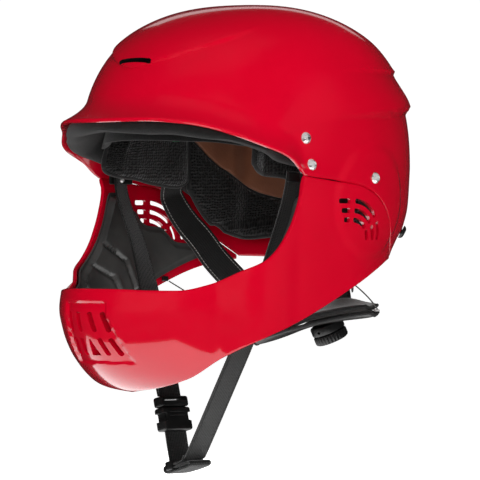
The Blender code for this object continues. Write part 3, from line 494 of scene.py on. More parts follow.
def brown_look():
    look = Look("brown_lining", (0.17, 0.05, 0.022), 0.55, Sheen_Weight=0.2)
    look.colour_from(look.noise(28.0, 6.0), (0.170, 0.056, 0.026), (0.300, 0.108, 0.050))
    cells = look.node("ShaderNodeTexVoronoi", Scale=700.0)
    look.link(look.place(), cells.inputs["Vector"])
    look.rough_from(look.noise(80.0), 0.45, 0.65)
    look.bump(cells.outputs["Distance"], 0.25, 0.0003)
    return look.material


def webbing_look(name, low, high):
    """Ribbed polyester weave on the strap's UV: u across, v along, in metres; its colour is darker
    in the weave's grooves and lighter on its ridges, as painted shade.
    """
    look = Look(name, low, 0.62, Sheen_Weight=0.35, Sheen_Roughness=0.35)
    split = look.node("ShaderNodeSeparateXYZ")
    look.link(look.place("UV"), split.inputs[0])
    u, v = split.outputs[0], split.outputs[1]
    across = look.math("SINE", look.math("MULTIPLY", u, 2 * math.pi / 0.0016))
    slant = look.math("ADD", look.math("MULTIPLY", v, 2 * math.pi / 0.0011),
                      look.math("MULTIPLY", across, 1.3))
    weave = look.math("MULTIPLY", look.math("SINE", slant), 0.5)
    height = look.math("ADD", look.math("MULTIPLY", across, 0.5), weave)
    # Painted shade from the weave's height, mixed below with a random mottle.
    shade = look.math("ADD", look.math("MULTIPLY", height, 0.25), 0.5)
    shade_and_mottle = look.math("ADD", shade, look.math("MULTIPLY", look.noise(300.0), 0.3))
    look.colour_from(shade_and_mottle, low, high, 0.3, 1.0)
    look.bump(height, 0.55, 0.00035)
    return look.material


def steel_look():
    look = Look("bright_steel", (0.86, 0.85, 0.84), 0.2, 0.45)
    look.rough_from(look.noise(500.0, 4.0), 0.12, 0.30)
    # Painted reflection: dark and bright patches at random stand in for the surroundings reflected
    # in the steel.
    look.colour_from(look.noise(330.0, 3.0), (0.12, 0.12, 0.12), (0.95, 0.94, 0.93), 0.38, 0.50)
    look.bump(look.noise(900.0), 0.06, 0.0002)
    return look.material


def plastic_look(name="black_nylon", low=(0.006, 0.006, 0.006), high=(0.014, 0.014, 0.014)):
    look = Look(name, low, 0.38)
    look.colour_from(look.noise(60.0, 4.0), low, high)
    look.rough_from(look.noise(260.0, 5.0), 0.30, 0.50)
    look.bump(look.noise(1400.0, 2.0), 0.25, 0.0002)
    return look.material


def green_look():
    look = Look("green_tab", (0.01, 0.16, 0.06), 0.7, Sheen_Weight=0.2)
    look.colour_from(look.noise(500.0), (0.006, 0.11, 0.04), (0.02, 0.21, 0.08))
    look.bump(look.noise(1500.0), 0.4, 0.0002)
    return look.material


# ---------------------------------------------------------------- mesh helpers
def finish_piece(name, bm, look, body, stands_for=(), smooth_angle=45.0):
    """Makes an object of a bmesh, rides it on its body and hides the CAD parts it stands for."""
    mesh = bpy.data.meshes.new(name)
    bm.to_mesh(mesh)
    bm.free()
    mesh.materials.append(look)
    mesh.shade_smooth()
    mesh.set_sharp_from_angle(angle=math.radians(smooth_angle))
    made = bpy.data.objects.new(name, mesh)
    bpy.context.scene.collection.objects.link(made)
    if body:
        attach(made, body)
    if stands_for:
        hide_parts(*stands_for)
    return made


def sheet_grid(bm, rows, ring=False, uvs=None):
    """Quads over rows of points; returns the rows of vertices."""
    lines = [[bm.verts.new(point) for point in row] for row in rows]
    layer = bm.loops.layers.uv.verify()
    count = len(rows[0])
    span = count if ring else count - 1
    for r in range(len(rows) - 1):
        for i in range(span):
            j = (i + 1) % count
            face = bm.faces.new((lines[r][i], lines[r][j], lines[r + 1][j], lines[r + 1][i]))
            if uvs:
                spots = (uvs[r][i], uvs[r][i + 1], uvs[r + 1][i + 1], uvs[r + 1][i])
                for loop, spot in zip(face.loops, spots):
                    loop[layer].uv = spot
    return lines


def closed_sheets(front, back, uvs=None):
    """Closed bmesh between two grids of points, and the seam midway along their border."""
    rows, columns = len(front) - 1, len(front[0]) - 1
    bm = bmesh.new()
    lines = sheet_grid(bm, front, uvs=uvs)
    behind = sheet_grid(bm, back, uvs=uvs)
    border = [(0, k) for k in range(columns + 1)]
    border += [(r, columns) for r in range(1, rows + 1)]
    border += [(rows, k) for k in range(columns - 1, -1, -1)]
    border += [(r, 0) for r in range(rows - 1, 0, -1)]
    for (r, k), (q, j) in zip(border, border[1:] + border[:1]):
        bm.faces.new((lines[q][j], lines[r][k], behind[r][k], behind[q][j]))
    bmesh.ops.recalc_face_normals(bm, faces=bm.faces[:])
    return bm, [(front[r][k] + back[r][k]) / 2 for r, k in border]


def signed(angle):
    return angle if angle <= 180 else angle - 360


def apply_modifiers(made):
    graph = bpy.context.evaluated_depsgraph_get()
    mesh = bpy.data.meshes.new_from_object(made.evaluated_get(graph))
    old = made.data
    made.modifiers.clear()
    made.data = mesh
    bpy.data.meshes.remove(old)


def cut_with(made, bm):
    """Cuts a closed bmesh out of an object."""
    bmesh.ops.recalc_face_normals(bm, faces=bm.faces[:])
    mesh = bpy.data.meshes.new("cutter")
    bm.to_mesh(mesh)
    bm.free()
    cutter = bpy.data.objects.new("cutter", mesh)
    bpy.context.scene.collection.objects.link(cutter)
    step = made.modifiers.new("Cut", "BOOLEAN")
    step.operation = "DIFFERENCE"
    step.solver = "EXACT"
    step.object = cutter
    bpy.context.view_layer.update()
    apply_modifiers(made)
    bpy.data.objects.remove(cutter)
    bpy.data.meshes.remove(mesh)


def capped_dome(columns, top, wall):
    """Closed bmesh of columns that run down the inner face and up the outer one, with its
    crown at a height closed outside, and inside a wall's thickness below it."""
    rows = [[column[i] for column in columns] for i in range(len(columns[0]))]
    bm = bmesh.new()
    lines = sheet_grid(bm, rows, ring=True)
    for line, height in ((lines[-1], top), (lines[0], top - wall)):
        tip = bm.verts.new((0, 0, height))
        for i, corner in enumerate(line):
            bm.faces.new((corner, line[(i + 1) % len(line)], tip))
    bmesh.ops.recalc_face_normals(bm, faces=bm.faces[:])
    return bm


def arc_between(outer, inner, outward, steps=5):
    """Points of a half-round rim from an outer point to an inner one, bulging outward."""
    middle = (outer + inner) / 2
    half = (outer - inner) / 2
    bulge = outward.normalized() * half.length
    points = []
    for k in range(1, steps):
        turn = math.pi * k / steps
        points.append(middle + half * math.cos(turn) + bulge * math.sin(turn))
    return points


# ---------------------------------------------------------------- dome
SHELL_COLUMNS = 300
SHELL_ROWS = 90
SLOT_Z = 0.1228             # height of the front slot
SLOT_HALF = 8.3             # degrees to its ends
SLOT_WIDTH = 0.0040


def shell_skin(looks):
    """Dome with a rounded rim, closed at the crown inside and out."""
    columns = []
    for k in range(SHELL_COLUMNS):
        angle = signed(360.0 * k / SHELL_COLUMNS)
        low = climb(shell_edge(abs(angle)) + SEAM_GAP + SHELL_T * 0.45)
        outer, inner = [], []
        for r in range(SHELL_ROWS):
            z = crown_height(low + (1.0 - low) * (r / SHELL_ROWS) ** 1.35)
            outer.append(outer_point(angle, z))
            plain = face_normal(angle, z, True, False, 0.5, 0.0012)
            inner.append(outer_point(angle, z, True, False) - plain * SHELL_T)
        down = (outer[0] - outer[1]).normalized()
        rim = arc_between(outer[0], inner[0], down)
        columns.append(inner[::-1] + rim[::-1] + outer)
    bm = capped_dome(columns, CROWN_BASE_Z + CROWN_RISE, SHELL_T)
    made = finish_piece("shell_skin", bm, looks["red"], "helmet", ("outer_shell",))
    cutter = bmesh.new()
    arc = [SLOT_HALF * (k / 8 - 1) for k in range(17)]
    path = [(angle, SLOT_Z - 0.0010 * (angle / SLOT_HALF) ** 2) for angle in arc]
    slot_prism(cutter, path, SLOT_WIDTH)
    cut_with(made, cutter)
    finish_shading(made)
    # The slot's walls are coloured black as painted shade.
    shade_slot_walls(made, looks["plastic"])
    return made


def shade_slot_walls(made, look):
    """Painted shade: the front slot's own walls get the black plastic in place of the red."""
    made.data.materials.append(look)
    for face in made.data.polygons:
        spot = face.center
        if spot.y > -0.085 or abs(spot.x) > 0.020 or abs(spot.z - SLOT_Z + 0.0003) > 0.0035:
            continue
        angle = math.degrees(math.atan2(spot.x, -spot.y))
        if (outer_point(angle, spot.z) - spot).length > 0.0006:
            face.material_index = 1


def finish_shading(made, angle=32.0):
    """Smooth faces with sharp edges above an angle, after a cut."""
    made.data.shade_smooth()
    made.data.set_sharp_from_angle(angle=math.radians(angle))


def slot_prism(bm, path, width, reach_out=0.004, reach_in=0.009):
    """Adds a round-ended prism along a path of (angle, height) points through the wall."""
    points = [outer_point(angle, z) for angle, z in path]
    normals = [face_normal(angle, z) for angle, z in path]
    last = len(points) - 1
    lengths = [0.0]
    for a, b in zip(points, points[1:]):
        lengths.append(lengths[-1] + (b - a).length)
    sections = []
    for i, point in enumerate(points):
        tangent = (points[min(i + 1, last)] - points[max(i - 1, 0)]).normalized()
        side = normals[i].cross(tangent).normalized()
        to_end = min(lengths[i], lengths[-1] - lengths[i]) / (width * 0.4)
        half = width / 2 * math.sqrt(1 - (1 - min(1.0, to_end)) ** 2 * 0.75)
        ring = []
        for across, depth in ((-1, reach_out), (1, reach_out), (1, -reach_in), (-1, -reach_in)):
            ring.append(bm.verts.new(point + side * across * half + normals[i] * depth))
        sections.append(ring)
    for before, after in zip(sections, sections[1:]):
        for k in range(4):
            j = (k + 1) % 4
            bm.faces.new((before[k], before[j], after[j], after[k]))
    bm.faces.new(sections[0][::-1])
    bm.faces.new(sections[-1])


def path_steps(steps):
    """Fractions along a slot, close together at its ends."""
    ends = (0.0, 0.02, 0.06, 0.12)
    middle = [0.12 + 0.76 * k / steps for k in range(1, steps)]
    return [*ends, *middle, *[1 - e for e in reversed(ends)]]


# ---------------------------------------------------------------- face guard
GUARD_ROWS = 64
GUARD_TOP_BY_LOW = [(low, angle, z) for angle, z, low in GUARD_TOP]


def grille_boss(angle, z):
    """Extra wall behind the chin grille, so that its slots are deep."""
    across = 1.0 - smooth(abs(angle), 13, 17)
    return 0.0045 * across * smooth(z, -0.086, -0.080) * (1.0 - smooth(z, -0.047, -0.043))


def guard_profile(side, low_angle):
    """Loop of points round the guard's wall in one column, and the flange behind the dome."""
    top_angle = along(GUARD_TOP_BY_LOW, low_angle, 1)
    top_z = along(GUARD_TOP_BY_LOW, low_angle, 2)
    rim = GUARD_T * 0.45
    top = top_z - SEAM_GAP - rim
    low = along(GUARD_LOW, low_angle) + rim
    outer, inner = [], []
    for r in range(GUARD_ROWS + 1):
        t = r / GUARD_ROWS
        z = top + (low - top) * t
        angle = side * (top_angle + (low_angle - top_angle) * t)
        point = outer_point(angle, z)
        outer.append(point)
        inner.append(point - face_normal(angle, z, True) * (GUARD_T + grille_boss(angle, z)))
    upward = (outer[0] - outer[2]).normalized()
    downward = (outer[-1] - outer[-2]).normalized()
    top_rim = arc_between(outer[0], inner[0], upward)
    low_rim = arc_between(outer[-1], inner[-1], downward)
    return outer + low_rim + inner[::-1] + top_rim[::-1]


def guard_skin(looks):
    angles = []
    for a, b in zip(GUARD_TOP, GUARD_TOP[1:]):
        steps = max(2, round((b[2] - a[2]) / 0.85))
        angles += [a[2] + (b[2] - a[2]) * k / steps for k in range(steps)]
    angles.append(GUARD_TOP[-1][2])
    columns = [guard_profile(-1, angle) for angle in angles[:0:-1]]
    columns += [guard_profile(1, angle) for angle in angles]
    bm = bmesh.new()
    lines = sheet_grid(bm, columns, ring=True)
    bm.faces.new(lines[0])
    bm.faces.new(lines[-1][::-1])
    bmesh.ops.recalc_face_normals(bm, faces=bm.faces[:])
    made = finish_piece("guard_skin", bm, looks["red"], "helmet", ("face_guard",))
    cutter = bmesh.new()
    for side in (-1, 1):
        side_vents(cutter, side)
    chin_grille(cutter)
    cut_with(made, cutter)
    finish_shading(made)
    return made


def side_vents(bm, side):
    """Three nested vents by the ear, each in a short, a curved and an upright piece."""
    for reach, height, short in ((0.0315, 0.0268, 0.0125), (0.0245, 0.0202, 0.0100),
                                 (0.0172, 0.0138, 0.0075)):
        z = height * 0.995
        forward = [0.0015 + (short - 0.0015) * t for t in path_steps(4)]
        path = [(side * (90 - math.degrees(math.atan2(y, 0.100))), z) for y in forward]
        slot_prism(bm, path, 0.0034)
        slot_prism(bm, ear_path(side, reach, height, 85, 36, 14), 0.0034)
        slot_prism(bm, ear_path(side, reach, height, 29, 0, 8), 0.0034)


def ear_path(side, reach, height, start, end, steps):
    """Path on the ear's quarter ellipse, from one angle to another in degrees."""
    path = []
    for t in path_steps(steps):
        turn = math.radians(start + (end - start) * t)
        back = reach * math.cos(turn)
        angle = 90 + math.degrees(math.atan2(back, 0.100))
        path.append((side * angle, height * math.sin(turn)))
    return path


def chin_grille(bm):
    """Fan of upright slots in the chin, with a wedge in the middle of the lower row."""
    upper = ((0.0052, 0.0068), (0.0150, 0.0182))
    lower = ((0.0085, 0.0115), (0.0170, 0.0222))
    for rows, top, bottom in ((upper, -0.0485, -0.0620), (lower, -0.0665, -0.0780)):
        for x_top, x_low in rows:
            for side in (-1, 1):
                path = []
                for t in path_steps(4):
                    x = x_top + (x_low - x_top) * t
                    angle = math.degrees(math.atan2(x, 0.150))
                    path.append((side * angle, top + (bottom - top) * t))
                slot_prism(bm, path, 0.0042, reach_in=0.012)
    corners = []
    for x, z in ((-0.0008, -0.0670), (0.0008, -0.0670), (0.0042, -0.0780), (-0.0042, -0.0780)):
        corners.append([bm.verts.new((x, y, z)) for y in (-0.165, -0.130)])
    for k in range(4):
        j = (k + 1) % 4
        bm.faces.new((corners[k][0], corners[j][0], corners[j][1], corners[k][1]))
    bm.faces.new([pair[0] for pair in corners])
    bm.faces.new([pair[1] for pair in corners])


# ---------------------------------------------------------------- turned pieces
def turned(name, profile, place, look, body, stands_for, steps=28, ridges=None):
    """Solid turned from a profile of (radius, height) that runs down its outer side, or a
    ring where the profile comes back to its start."""
    closed = profile[0] == profile[-1]
    bm = bmesh.new()
    rings = []
    for radius, height in profile[:-1] if closed else profile:
        if radius < 1e-6:
            rings.append([bm.verts.new((0, 0, height))])
            continue
        ring = []
        for k in range(steps):
            turn = 2 * math.pi * k / steps
            reach = radius * (ridges(turn, radius, height) if ridges else 1.0)
            ring.append(bm.verts.new((reach * math.cos(turn), reach * math.sin(turn), height)))
        rings.append(ring)
    for a, b in zip(rings, rings[1:] + rings[:1] if closed else rings[1:]):
        for k in range(steps):
            j = (k + 1) % steps
            if len(a) == 1:
                bm.faces.new((a[0], b[k], b[j]))
            elif len(b) == 1:
                bm.faces.new((a[k], b[0], a[j]))
            else:
                bm.faces.new((a[k], b[k], b[j], a[j]))
    bmesh.ops.recalc_face_normals(bm, faces=bm.faces[:])
    bm.transform(place)
    return finish_piece(name, bm, look, body, stands_for, 35.0)


def placed_on_face(angle, z, depth=0.0):
    """Matrix whose +Z is the outward normal at a point of the outer face."""
    normal = face_normal(angle, z, True)
    origin = outer_point(angle, z) - normal * depth
    return Matrix.Translation(origin) @ normal.to_track_quat("Z", "Y").to_matrix().to_4x4()


def rivets(looks):
    """Domed rivet heads with a dimple, and their washers behind the flange."""
    back = FLANGE_DROP + GUARD_T
    head = [(0.0, 0.0027), (0.0007, 0.0027), (0.0010, 0.0031), (0.0018, 0.0028), (0.0027, 0.0021),
            (0.0034, 0.0013), (0.0038, 0.0007), (RIVET_HEAD_R, 0.0002), (0.0038, -0.0001),
            (RIVET_SHANK_R, -0.0001), (RIVET_SHANK_R, -back - 0.0034), (0.0, -back - 0.0034)]
    for side, word in ((1, "left"), (-1, "right")):
        for number, (angle, z) in enumerate(RIVETS, 1):
            turned(f"rivet_{word}_{number}", head, placed_on_face(side * angle, z),
                   looks["steel"], "helmet", (f"guard_rivet_{word}_{number}",), 32)
            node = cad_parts[f"rivet_washer_{word}_{number}"]
            dress(node, looks["steel"])


def dress(node, look):
    """Gives a CAD node its material."""
    node.data.materials.clear()
    node.data.materials.append(look)


# ---------------------------------------------------------------- liner and pads
def liner_depth(angle, z):
    """The liner steps in behind the guard's flange and lies on the dome elsewhere."""
    by_angle = smooth(angle, 50, 60) * (1.0 - smooth(angle, 124, 134))
    by_height = 1.0 - smooth(z, 0.082, 0.092)
    return LINER_GAP + LINER_STEP * by_angle * by_height


def brim_lip(angle, z):
    """How the liner's front edge follows the brim outwards."""
    near = signed(angle)
    rise = max(0.0, z - shell_edge(abs(near)))
    if abs(near) >= 66 or rise >= BRIM_HEIGHT:
        return Vector((0, 0, 0))
    turn = math.radians(near)
    flare = max(0.0, math.cos(turn)) ** 1.6 * (1.0 - rise / BRIM_HEIGHT) ** 2
    reach = BRIM_REACH * flare * smooth(z, 0.035, 0.050) * 0.80
    return Vector((reach * math.sin(turn), -reach * math.cos(turn), 0))


def liner_skin(looks):
    """Foam liner with a rounded lower edge and moulded channels."""
    columns = []
    count = 200
    rows = 46
    for k in range(count):
        angle = signed(360.0 * k / count)
        low = climb(along(LINER_EDGE, abs(angle)) + 0.0060)
        outer, inner = [], []
        for r in range(rows):
            z = crown_height(low + (1.0 - low) * (r / rows) ** 1.15)
            depth = liner_depth(abs(angle), z)
            normal = face_normal(angle, z)
            point = outer_point(angle, z, False) + brim_lip(angle, z)
            channel = 0.0022 * math.exp(-((z - 0.104) / 0.004) ** 2)
            outer.append(point - normal * depth)
            inner.append(point - normal * (depth + LINER_T - channel))
        rim = arc_between(outer[0], inner[0], (outer[0] - outer[1]).normalized(), 6)
        columns.append(inner[::-1] + rim[::-1] + outer)
    bm = capped_dome(columns, CROWN_BASE_Z + CROWN_RISE - LINER_GAP, LINER_T)
    return finish_piece("liner_skin", bm, looks["foam"], "helmet", ("foam_liner",))


def pad_spot(angle, z, lift):
    """Point that lies a lift inside the liner."""
    near = signed(angle)
    return inside(near, z, liner_depth(abs(near), z) + LINER_T + lift)


def pillow(name, low, high, lift, thickness, grid, look, nodes, edge=0.45,
           pipe=None, round_ends=0.06, bumps=0.0):
    """Soft pad between two edge tables, a lift inside the liner: crowned over the head
    side, pinched at its seam, with its ends drawn in."""
    columns, rows = grid
    start, end = low[0][0], low[-1][0]
    front, back, uvs = [], [], []
    for r in range(rows + 1):
        v = r / rows
        front_row, back_row, uv_row = [], [], []
        for k in range(columns + 1):
            u = k / columns
            angle = start + (end - start) * u
            bottom = along(low, angle)
            top = along(high, angle)
            pinch = 1.0 - round_ends * abs(2 * u - 1) ** 8
            z = (bottom + top) / 2 + (top - bottom) * (v - 0.5) * pinch
            crown = (1 - abs(2 * u - 1) ** 9) * (1 - abs(2 * v - 1) ** 4)
            crown = max(0.0, crown) ** 0.5
            wave = math.sin(angle * 0.21 + 1.3) * math.sin(z * 130 + angle * 0.05)
            fat = thickness * (edge + (1 - edge) * crown) + bumps * wave * crown
            front_row.append(pad_spot(angle, z, lift + fat))
            back_row.append(pad_spot(angle, z, lift + thickness * 0.12 * (1 - crown)))
            uv_row.append((math.radians(angle) * 0.10, z))
        front.append(front_row)
        back.append(back_row)
        uvs.append(uv_row)
    bm, seam = closed_sheets(front, back, uvs)
    made = finish_piece(name, bm, look, "helmet", nodes, 60.0)
    if pipe:
        piping(name + "_piping", seam, 0.0016, pipe)
    return made


def segment_distance(u, v, a, b, c, e):
    du, dv = c - a, e - b
    t = ((u - a) * du + (v - b) * dv) / max(1e-9, du * du + dv * dv)
    t = min(1.0, max(0.0, t))
    return math.hypot(u - a - du * t, v - b - dv * t)


def tube(bm, points, radius, sides=8, closed=False, squash=1.0):
    """Round tube through points, swept with a steady frame, with closed ends."""
    count = len(points)
    rings = []
    previous = None
    for i, point in enumerate(points):
        before = points[i - 1] if closed or i else points[0]
        after = points[(i + 1) % count] if closed or i < count - 1 else points[-1]
        tangent = (after - before).normalized()
        if previous is None:
            previous = tangent.orthogonal().normalized()
        side = (previous - tangent * previous.dot(tangent)).normalized()
        previous = side
        up = tangent.cross(side)
        ring = []
        for k in range(sides):
            turn = 2 * math.pi * k / sides
            ring.append(bm.verts.new(point + side * radius * math.cos(turn)
                                     + up * radius * squash * math.sin(turn)))
        rings.append(ring)
    pairs = list(zip(rings, rings[1:])) + ([(rings[-1], rings[0])] if closed else [])
    for a, b in pairs:
        for k in range(sides):
            j = (k + 1) % sides
            bm.faces.new((a[k], a[j], b[j], b[k]))
    if not closed:
        bm.faces.new(rings[0][::-1])
        bm.faces.new(rings[-1])


def piping(name, seam, radius, look, body="helmet"):
    """Round edge binding along a pad's seam."""
    bm = bmesh.new()
    tube(bm, seam, radius, 8, closed=True)
    bmesh.ops.recalc_face_normals(bm, faces=bm.faces[:])
    return finish_piece(name, bm, look, body, (), 80.0)


def mirrored(table):
    return tuple((-row[0], *row[1:]) for row in reversed(table))


def across_back(table, rise=0.0):
    """An edge table that ends at 180 degrees, raised and carried round to the other side."""
    half = tuple((angle, z + rise) for angle, z in table)
    return half + tuple((360 - angle, z) for angle, z in reversed(half[:-1]))


# Lower and upper edges of the pads: angle and height. The nape pad drops behind the ear.
BROW_LOW = ((-44, 0.0655), (-30, 0.0705), (0, 0.0740), (30, 0.0705), (44, 0.0655))
BROW_HIGH = ((-44, 0.0840), (-30, 0.0900), (0, 0.0930), (30, 0.0900), (44, 0.0840))
TEMPLE_LOW = ((49, 0.0495), (52, 0.0470), (60, 0.0446), (68, 0.0430), (76, 0.0405),
              (90, 0.0375), (99, 0.0365))
TEMPLE_HIGH = ((49, 0.0740), (53, 0.0820), (68, 0.0860), (90, 0.0850), (99, 0.0800))
NAPE_LOW = ((101, 0.0355), (104, 0.0290), (108, 0.0190), (113, 0.0095), (120, 0.0015),
            (128, -0.0040), (140, -0.0062), (180, -0.0066))
NAPE_HIGH = ((101, 0.0740), (106, 0.0680), (112, 0.0590), (118, 0.0515), (128, 0.0410),
             (139, 0.0310), (150, 0.0265), (180, 0.0255))
BAND_HIGH = ((101, 0.0800), (112, 0.0830), (140, 0.0850), (180, 0.0860))


def pads(looks):
    pillow("brow_cushion", BROW_LOW, BROW_HIGH, GAP * 3, 0.0062, (120, 16), looks["foam"],
           ("brow_pad",), 0.30, None, 0.3)
    for word, flip in (("left", False), ("right", True)):
        low = mirrored(TEMPLE_LOW) if flip else TEMPLE_LOW
        high = mirrored(TEMPLE_HIGH) if flip else TEMPLE_HIGH
        pillow(f"temple_cushion_{word}", low, high, 0.0032, 0.0074, (110, 70), looks["mesh"],
               (f"temple_pad_{word}",), 0.35, looks["binding"], 0.22, 0.0007)
    pillow("rear_cushion", across_back(NAPE_LOW), across_back(NAPE_HIGH), 0.0018, 0.0068,
           (230, 64), looks["mesh"], ("rear_pad",), 0.35,
           looks["binding"], 0.05, 0.0006)
    pillow("crown_lining", across_back(NAPE_HIGH, 0.0018), across_back(BAND_HIGH), 0.0018,
           0.0042, (200, 40), looks["brown"], ("crown_band",), 0.75)
    crown_cushion(looks)


def crown_cushion(looks):
    """Round pad at the top of the head."""
    profile = [(0.0, 0.0)]
    for k in range(1, 15):
        turn = math.pi * k / 15
        profile.append((0.027 * math.sin(turn) ** 0.55, -0.0030 + 0.0030 * math.cos(turn)))
    profile.append((0.0, -0.0060))
    place = Matrix.Translation((0, 0, CROWN_BASE_Z + CROWN_RISE - LINER_GAP - LINER_T - 0.0020))
    made = turned("crown_cushion", profile, place, looks["mesh_object"], "helmet",
                  ("crown_pad",), 64)


CHIN_PAD_TOP = ((14, -0.0400), (24, -0.0395), (34, -0.0325), (43, -0.0232), (51, -0.0165),
                (56, -0.0088), (60.2, 0.0010), (62.8, 0.0100), (64.8, 0.0205), (66.2, 0.0300),
                (67.6, 0.0335), (70.5, 0.0335), (73, 0.0300), (76, 0.0250), (82, 0.0185),
                (84.5, 0.0125), (88.5, 0.0096), (94.3, 0.0090), (103, -0.0020), (110, -0.0035),
                (118, -0.0060))
# Moulded lines of the chin pads: angle and height of both ends, width, depth (ridge < 0)
CHIN_PAD_LINES = (
    (57.5, 0.0005, 71.5, -0.0157, 0.0013, 0.0026),
    (71.5, -0.0157, 76.5, -0.0349, 0.0013, 0.0026),
    (51.0, -0.0155, 64.5, -0.0268, 0.0013, 0.0024),
    (64.5, -0.0268, 67.5, -0.0370, 0.0013, 0.0024),
    (42.0, -0.0290, 56.0, -0.0400, 0.0013, 0.0022),
    (72.8, -0.0170, 78.2, -0.0360, 0.0022, -0.0016),
    (65.8, -0.0275, 69.0, -0.0370, 0.0020, -0.0014),
    (66.3, 0.0270, 60.2, 0.0040, 0.0018, -0.0010),
    (56.5, -0.0060, 53.2, -0.0125, 0.0018, -0.0010),
    (47.0, -0.0210, 44.5, -0.0255, 0.0018, -0.0010))


def chin_pads(looks):
    """Moulded pads inside the guard: a padded front with ribs, a thin smooth rear flap."""
    columns, rows = 210, 64
    start, end = CHIN_PAD_TOP[0][0], CHIN_PAD_TOP[-1][0]
    scale = 0.00165
    for word, side in (("left", 1), ("right", -1)):
        front, back = [], []
        for r in range(rows + 1):
            v = r / rows
            front_row, back_row = [], []
            for k in range(columns + 1):
                angle = start + (end - start) * k / columns
                low = along(GUARD_LOW, angle) + 0.0066
                z = low + (along(CHIN_PAD_TOP, angle) - low) * v
                border = min(v, 1 - v) * (along(CHIN_PAD_TOP, angle) - low)
                border = min(border, (angle - start) * scale, (end - angle) * scale)
                flap = smooth(angle, 76, 84)
                swell = smooth(border, 0.0022, 0.0052) * (1 - 0.75 * flap)
                slope = 0.0009 * smooth(z, -0.03, 0.03)
                fat = 0.0013 + (0.0046 + slope) * swell
                for a, za, b, zb, wide, deep in CHIN_PAD_LINES:
                    gap = segment_distance(angle * scale, z, a * scale, za, b * scale, zb)
                    fat -= deep * math.exp(-(gap / wide) ** 2) * swell
                depth = GUARD_T + 0.0010
                front_row.append(inside(side * angle, z, depth + max(0.0010, fat)))
                back_row.append(inside(side * angle, z, depth))
            front.append(front_row)
            back.append(back_row)
        bm = closed_sheets(front, back)[0]
        made = finish_piece(f"chin_cushion_{word}", bm, looks["eva"], "helmet",
                            (f"chin_pad_{word}",), 50.0)


# ---------------------------------------------------------------- straps
def strap(name, points, across, look, body, stands_for, width=WEB_WIDTH,
          thickness=WEB_T, stitches=None, cells=14):
    """Webbing through points with one width direction each: rounded edges, UVs in metres."""
    path, sides = smooth_path(points, across, 3)
    half = width / 2
    profile = []
    for k in range(cells + 1):
        t = 2 * k / cells - 1
        profile.append((t * half, thickness / 2 * max(0.30, (1 - abs(t) ** 14)) ** 0.5))
    bm = bmesh.new()
    layer = bm.loops.layers.uv.verify()
    rows, run = [], 0.0
    lengths = []
    for i, point in enumerate(path):
        if i:
            run += (point - path[i - 1]).length
        lengths.append(run)
        tangent = (path[min(i + 1, len(path) - 1)] - path[max(i - 1, 0)]).normalized()
        side = (sides[i] - tangent * sides[i].dot(tangent)).normalized()
        up = tangent.cross(side)
        top = [bm.verts.new(point + side * u + up * h) for u, h in profile]
        low = [bm.verts.new(point + side * u - up * h) for u, h in reversed(profile)]
        rows.append(top + low)
    spots = [u for u, _ in profile] + [u + 0.05 for u, _ in reversed(profile)]
    count = len(rows[0])
    for r in range(len(rows) - 1):
        for i in range(count):
            j = (i + 1) % count
            face = bm.faces.new((rows[r][i], rows[r][j], rows[r + 1][j], rows[r + 1][i]))
            ends = ((spots[i], lengths[r]), (spots[j], lengths[r]),
                    (spots[j], lengths[r + 1]), (spots[i], lengths[r + 1]))
            for loop, spot in zip(face.loops, ends):
                loop[layer].uv = spot
    bm.faces.new(rows[0][::-1])
    bm.faces.new(rows[-1])
    bmesh.ops.recalc_face_normals(bm, faces=bm.faces[:])
    made = finish_piece(name, bm, look, body, stands_for, 50.0)
    if stitches:
        stitch_rows(name + "_stitches", path, sides, width, thickness, stitches, body)
    return made


def smooth_path(points, across, fine):
    """Catmull-Rom points through a route, and the width direction at each."""
    if isinstance(across, Vector):
        across = [across] * len(points)
    padded_points = [points[0] * 2 - points[1], *points, points[-1] * 2 - points[-2]]
    path, sides = [], []
    for i in range(len(points) - 1):
        p0, p1, p2, p3 = padded_points[i:i + 4]
        for k in range(fine):
            t = k / fine
            path.append(0.5 * ((2 * p1) + (p2 - p0) * t + (2 * p0 - 5 * p1 + 4 * p2 - p3) * t * t
                               + (3 * p1 - p0 - 3 * p2 + p3) * t ** 3))
            sides.append(across[i].lerp(across[i + 1], t).normalized())
    path.append(points[-1].copy())
    sides.append(across[-1].normalized())
    return path, sides


def stitch_rows(name, path, sides, width, thickness, spec, body):
    """Thread stitches along both edges of a strap, on both faces."""
    look, inset, start, end = spec
    length = 0.0024
    bm = bmesh.new()
    runs = [0.0]
    for a, b in zip(path, path[1:]):
        runs.append(runs[-1] + (b - a).length)
    total = runs[-1]
    spot = total * start
    while spot + length < total * end:
        for edge in (-1, 1):
            for face in (-1, 1):
                ends = []
                for s in (spot, spot + length * 0.72):
                    i = max(k for k in range(len(runs)) if runs[k] <= s)
                    i = min(i, len(path) - 2)
                    t = (s - runs[i]) / max(1e-9, runs[i + 1] - runs[i])
                    tangent = (path[i + 1] - path[i]).normalized()
                    side = sides[i].lerp(sides[i + 1], t)
                    side = (side - tangent * side.dot(tangent)).normalized()
                    up = tangent.cross(side)
                    ends.append(path[i].lerp(path[i + 1], t) + side * edge * (width / 2 - inset)
                                + up * face * (thickness / 2 + 0.00005))
                middle = (ends[0] + ends[1]) / 2 + up * face * 0.00018
                tube(bm, [ends[0], middle, ends[1]], 0.00024, 5)
        spot += length
    bmesh.ops.recalc_face_normals(bm, faces=bm.faces[:])
    return finish_piece(name, bm, look, body, (), 80.0)


ANCHOR_Z = 0.0380
BUCKLE_TOP_Z = -0.1090
BUCKLE_SPLIT_Z = -0.1165
BUCKLE_LOW_Z = -0.1330
STRAP_FOOT_Z = -0.1495
LEGS = ((-0.165, -0.0049, -0.0079, -0.0542), (-0.150, 0.0040, -0.0115, -0.0540),
        (-0.100, 0.0335, -0.0235, -0.0535), (-0.079, 0.0450, -0.0310, -0.0525),
        (-0.043, 0.0620, -0.0440, -0.0495), (-0.004, 0.0765, -0.0635, -0.0430),
        (0.039, 0.0880, -0.0880, -0.0375), (0.050, 0.0892, -0.0895, -0.0370))


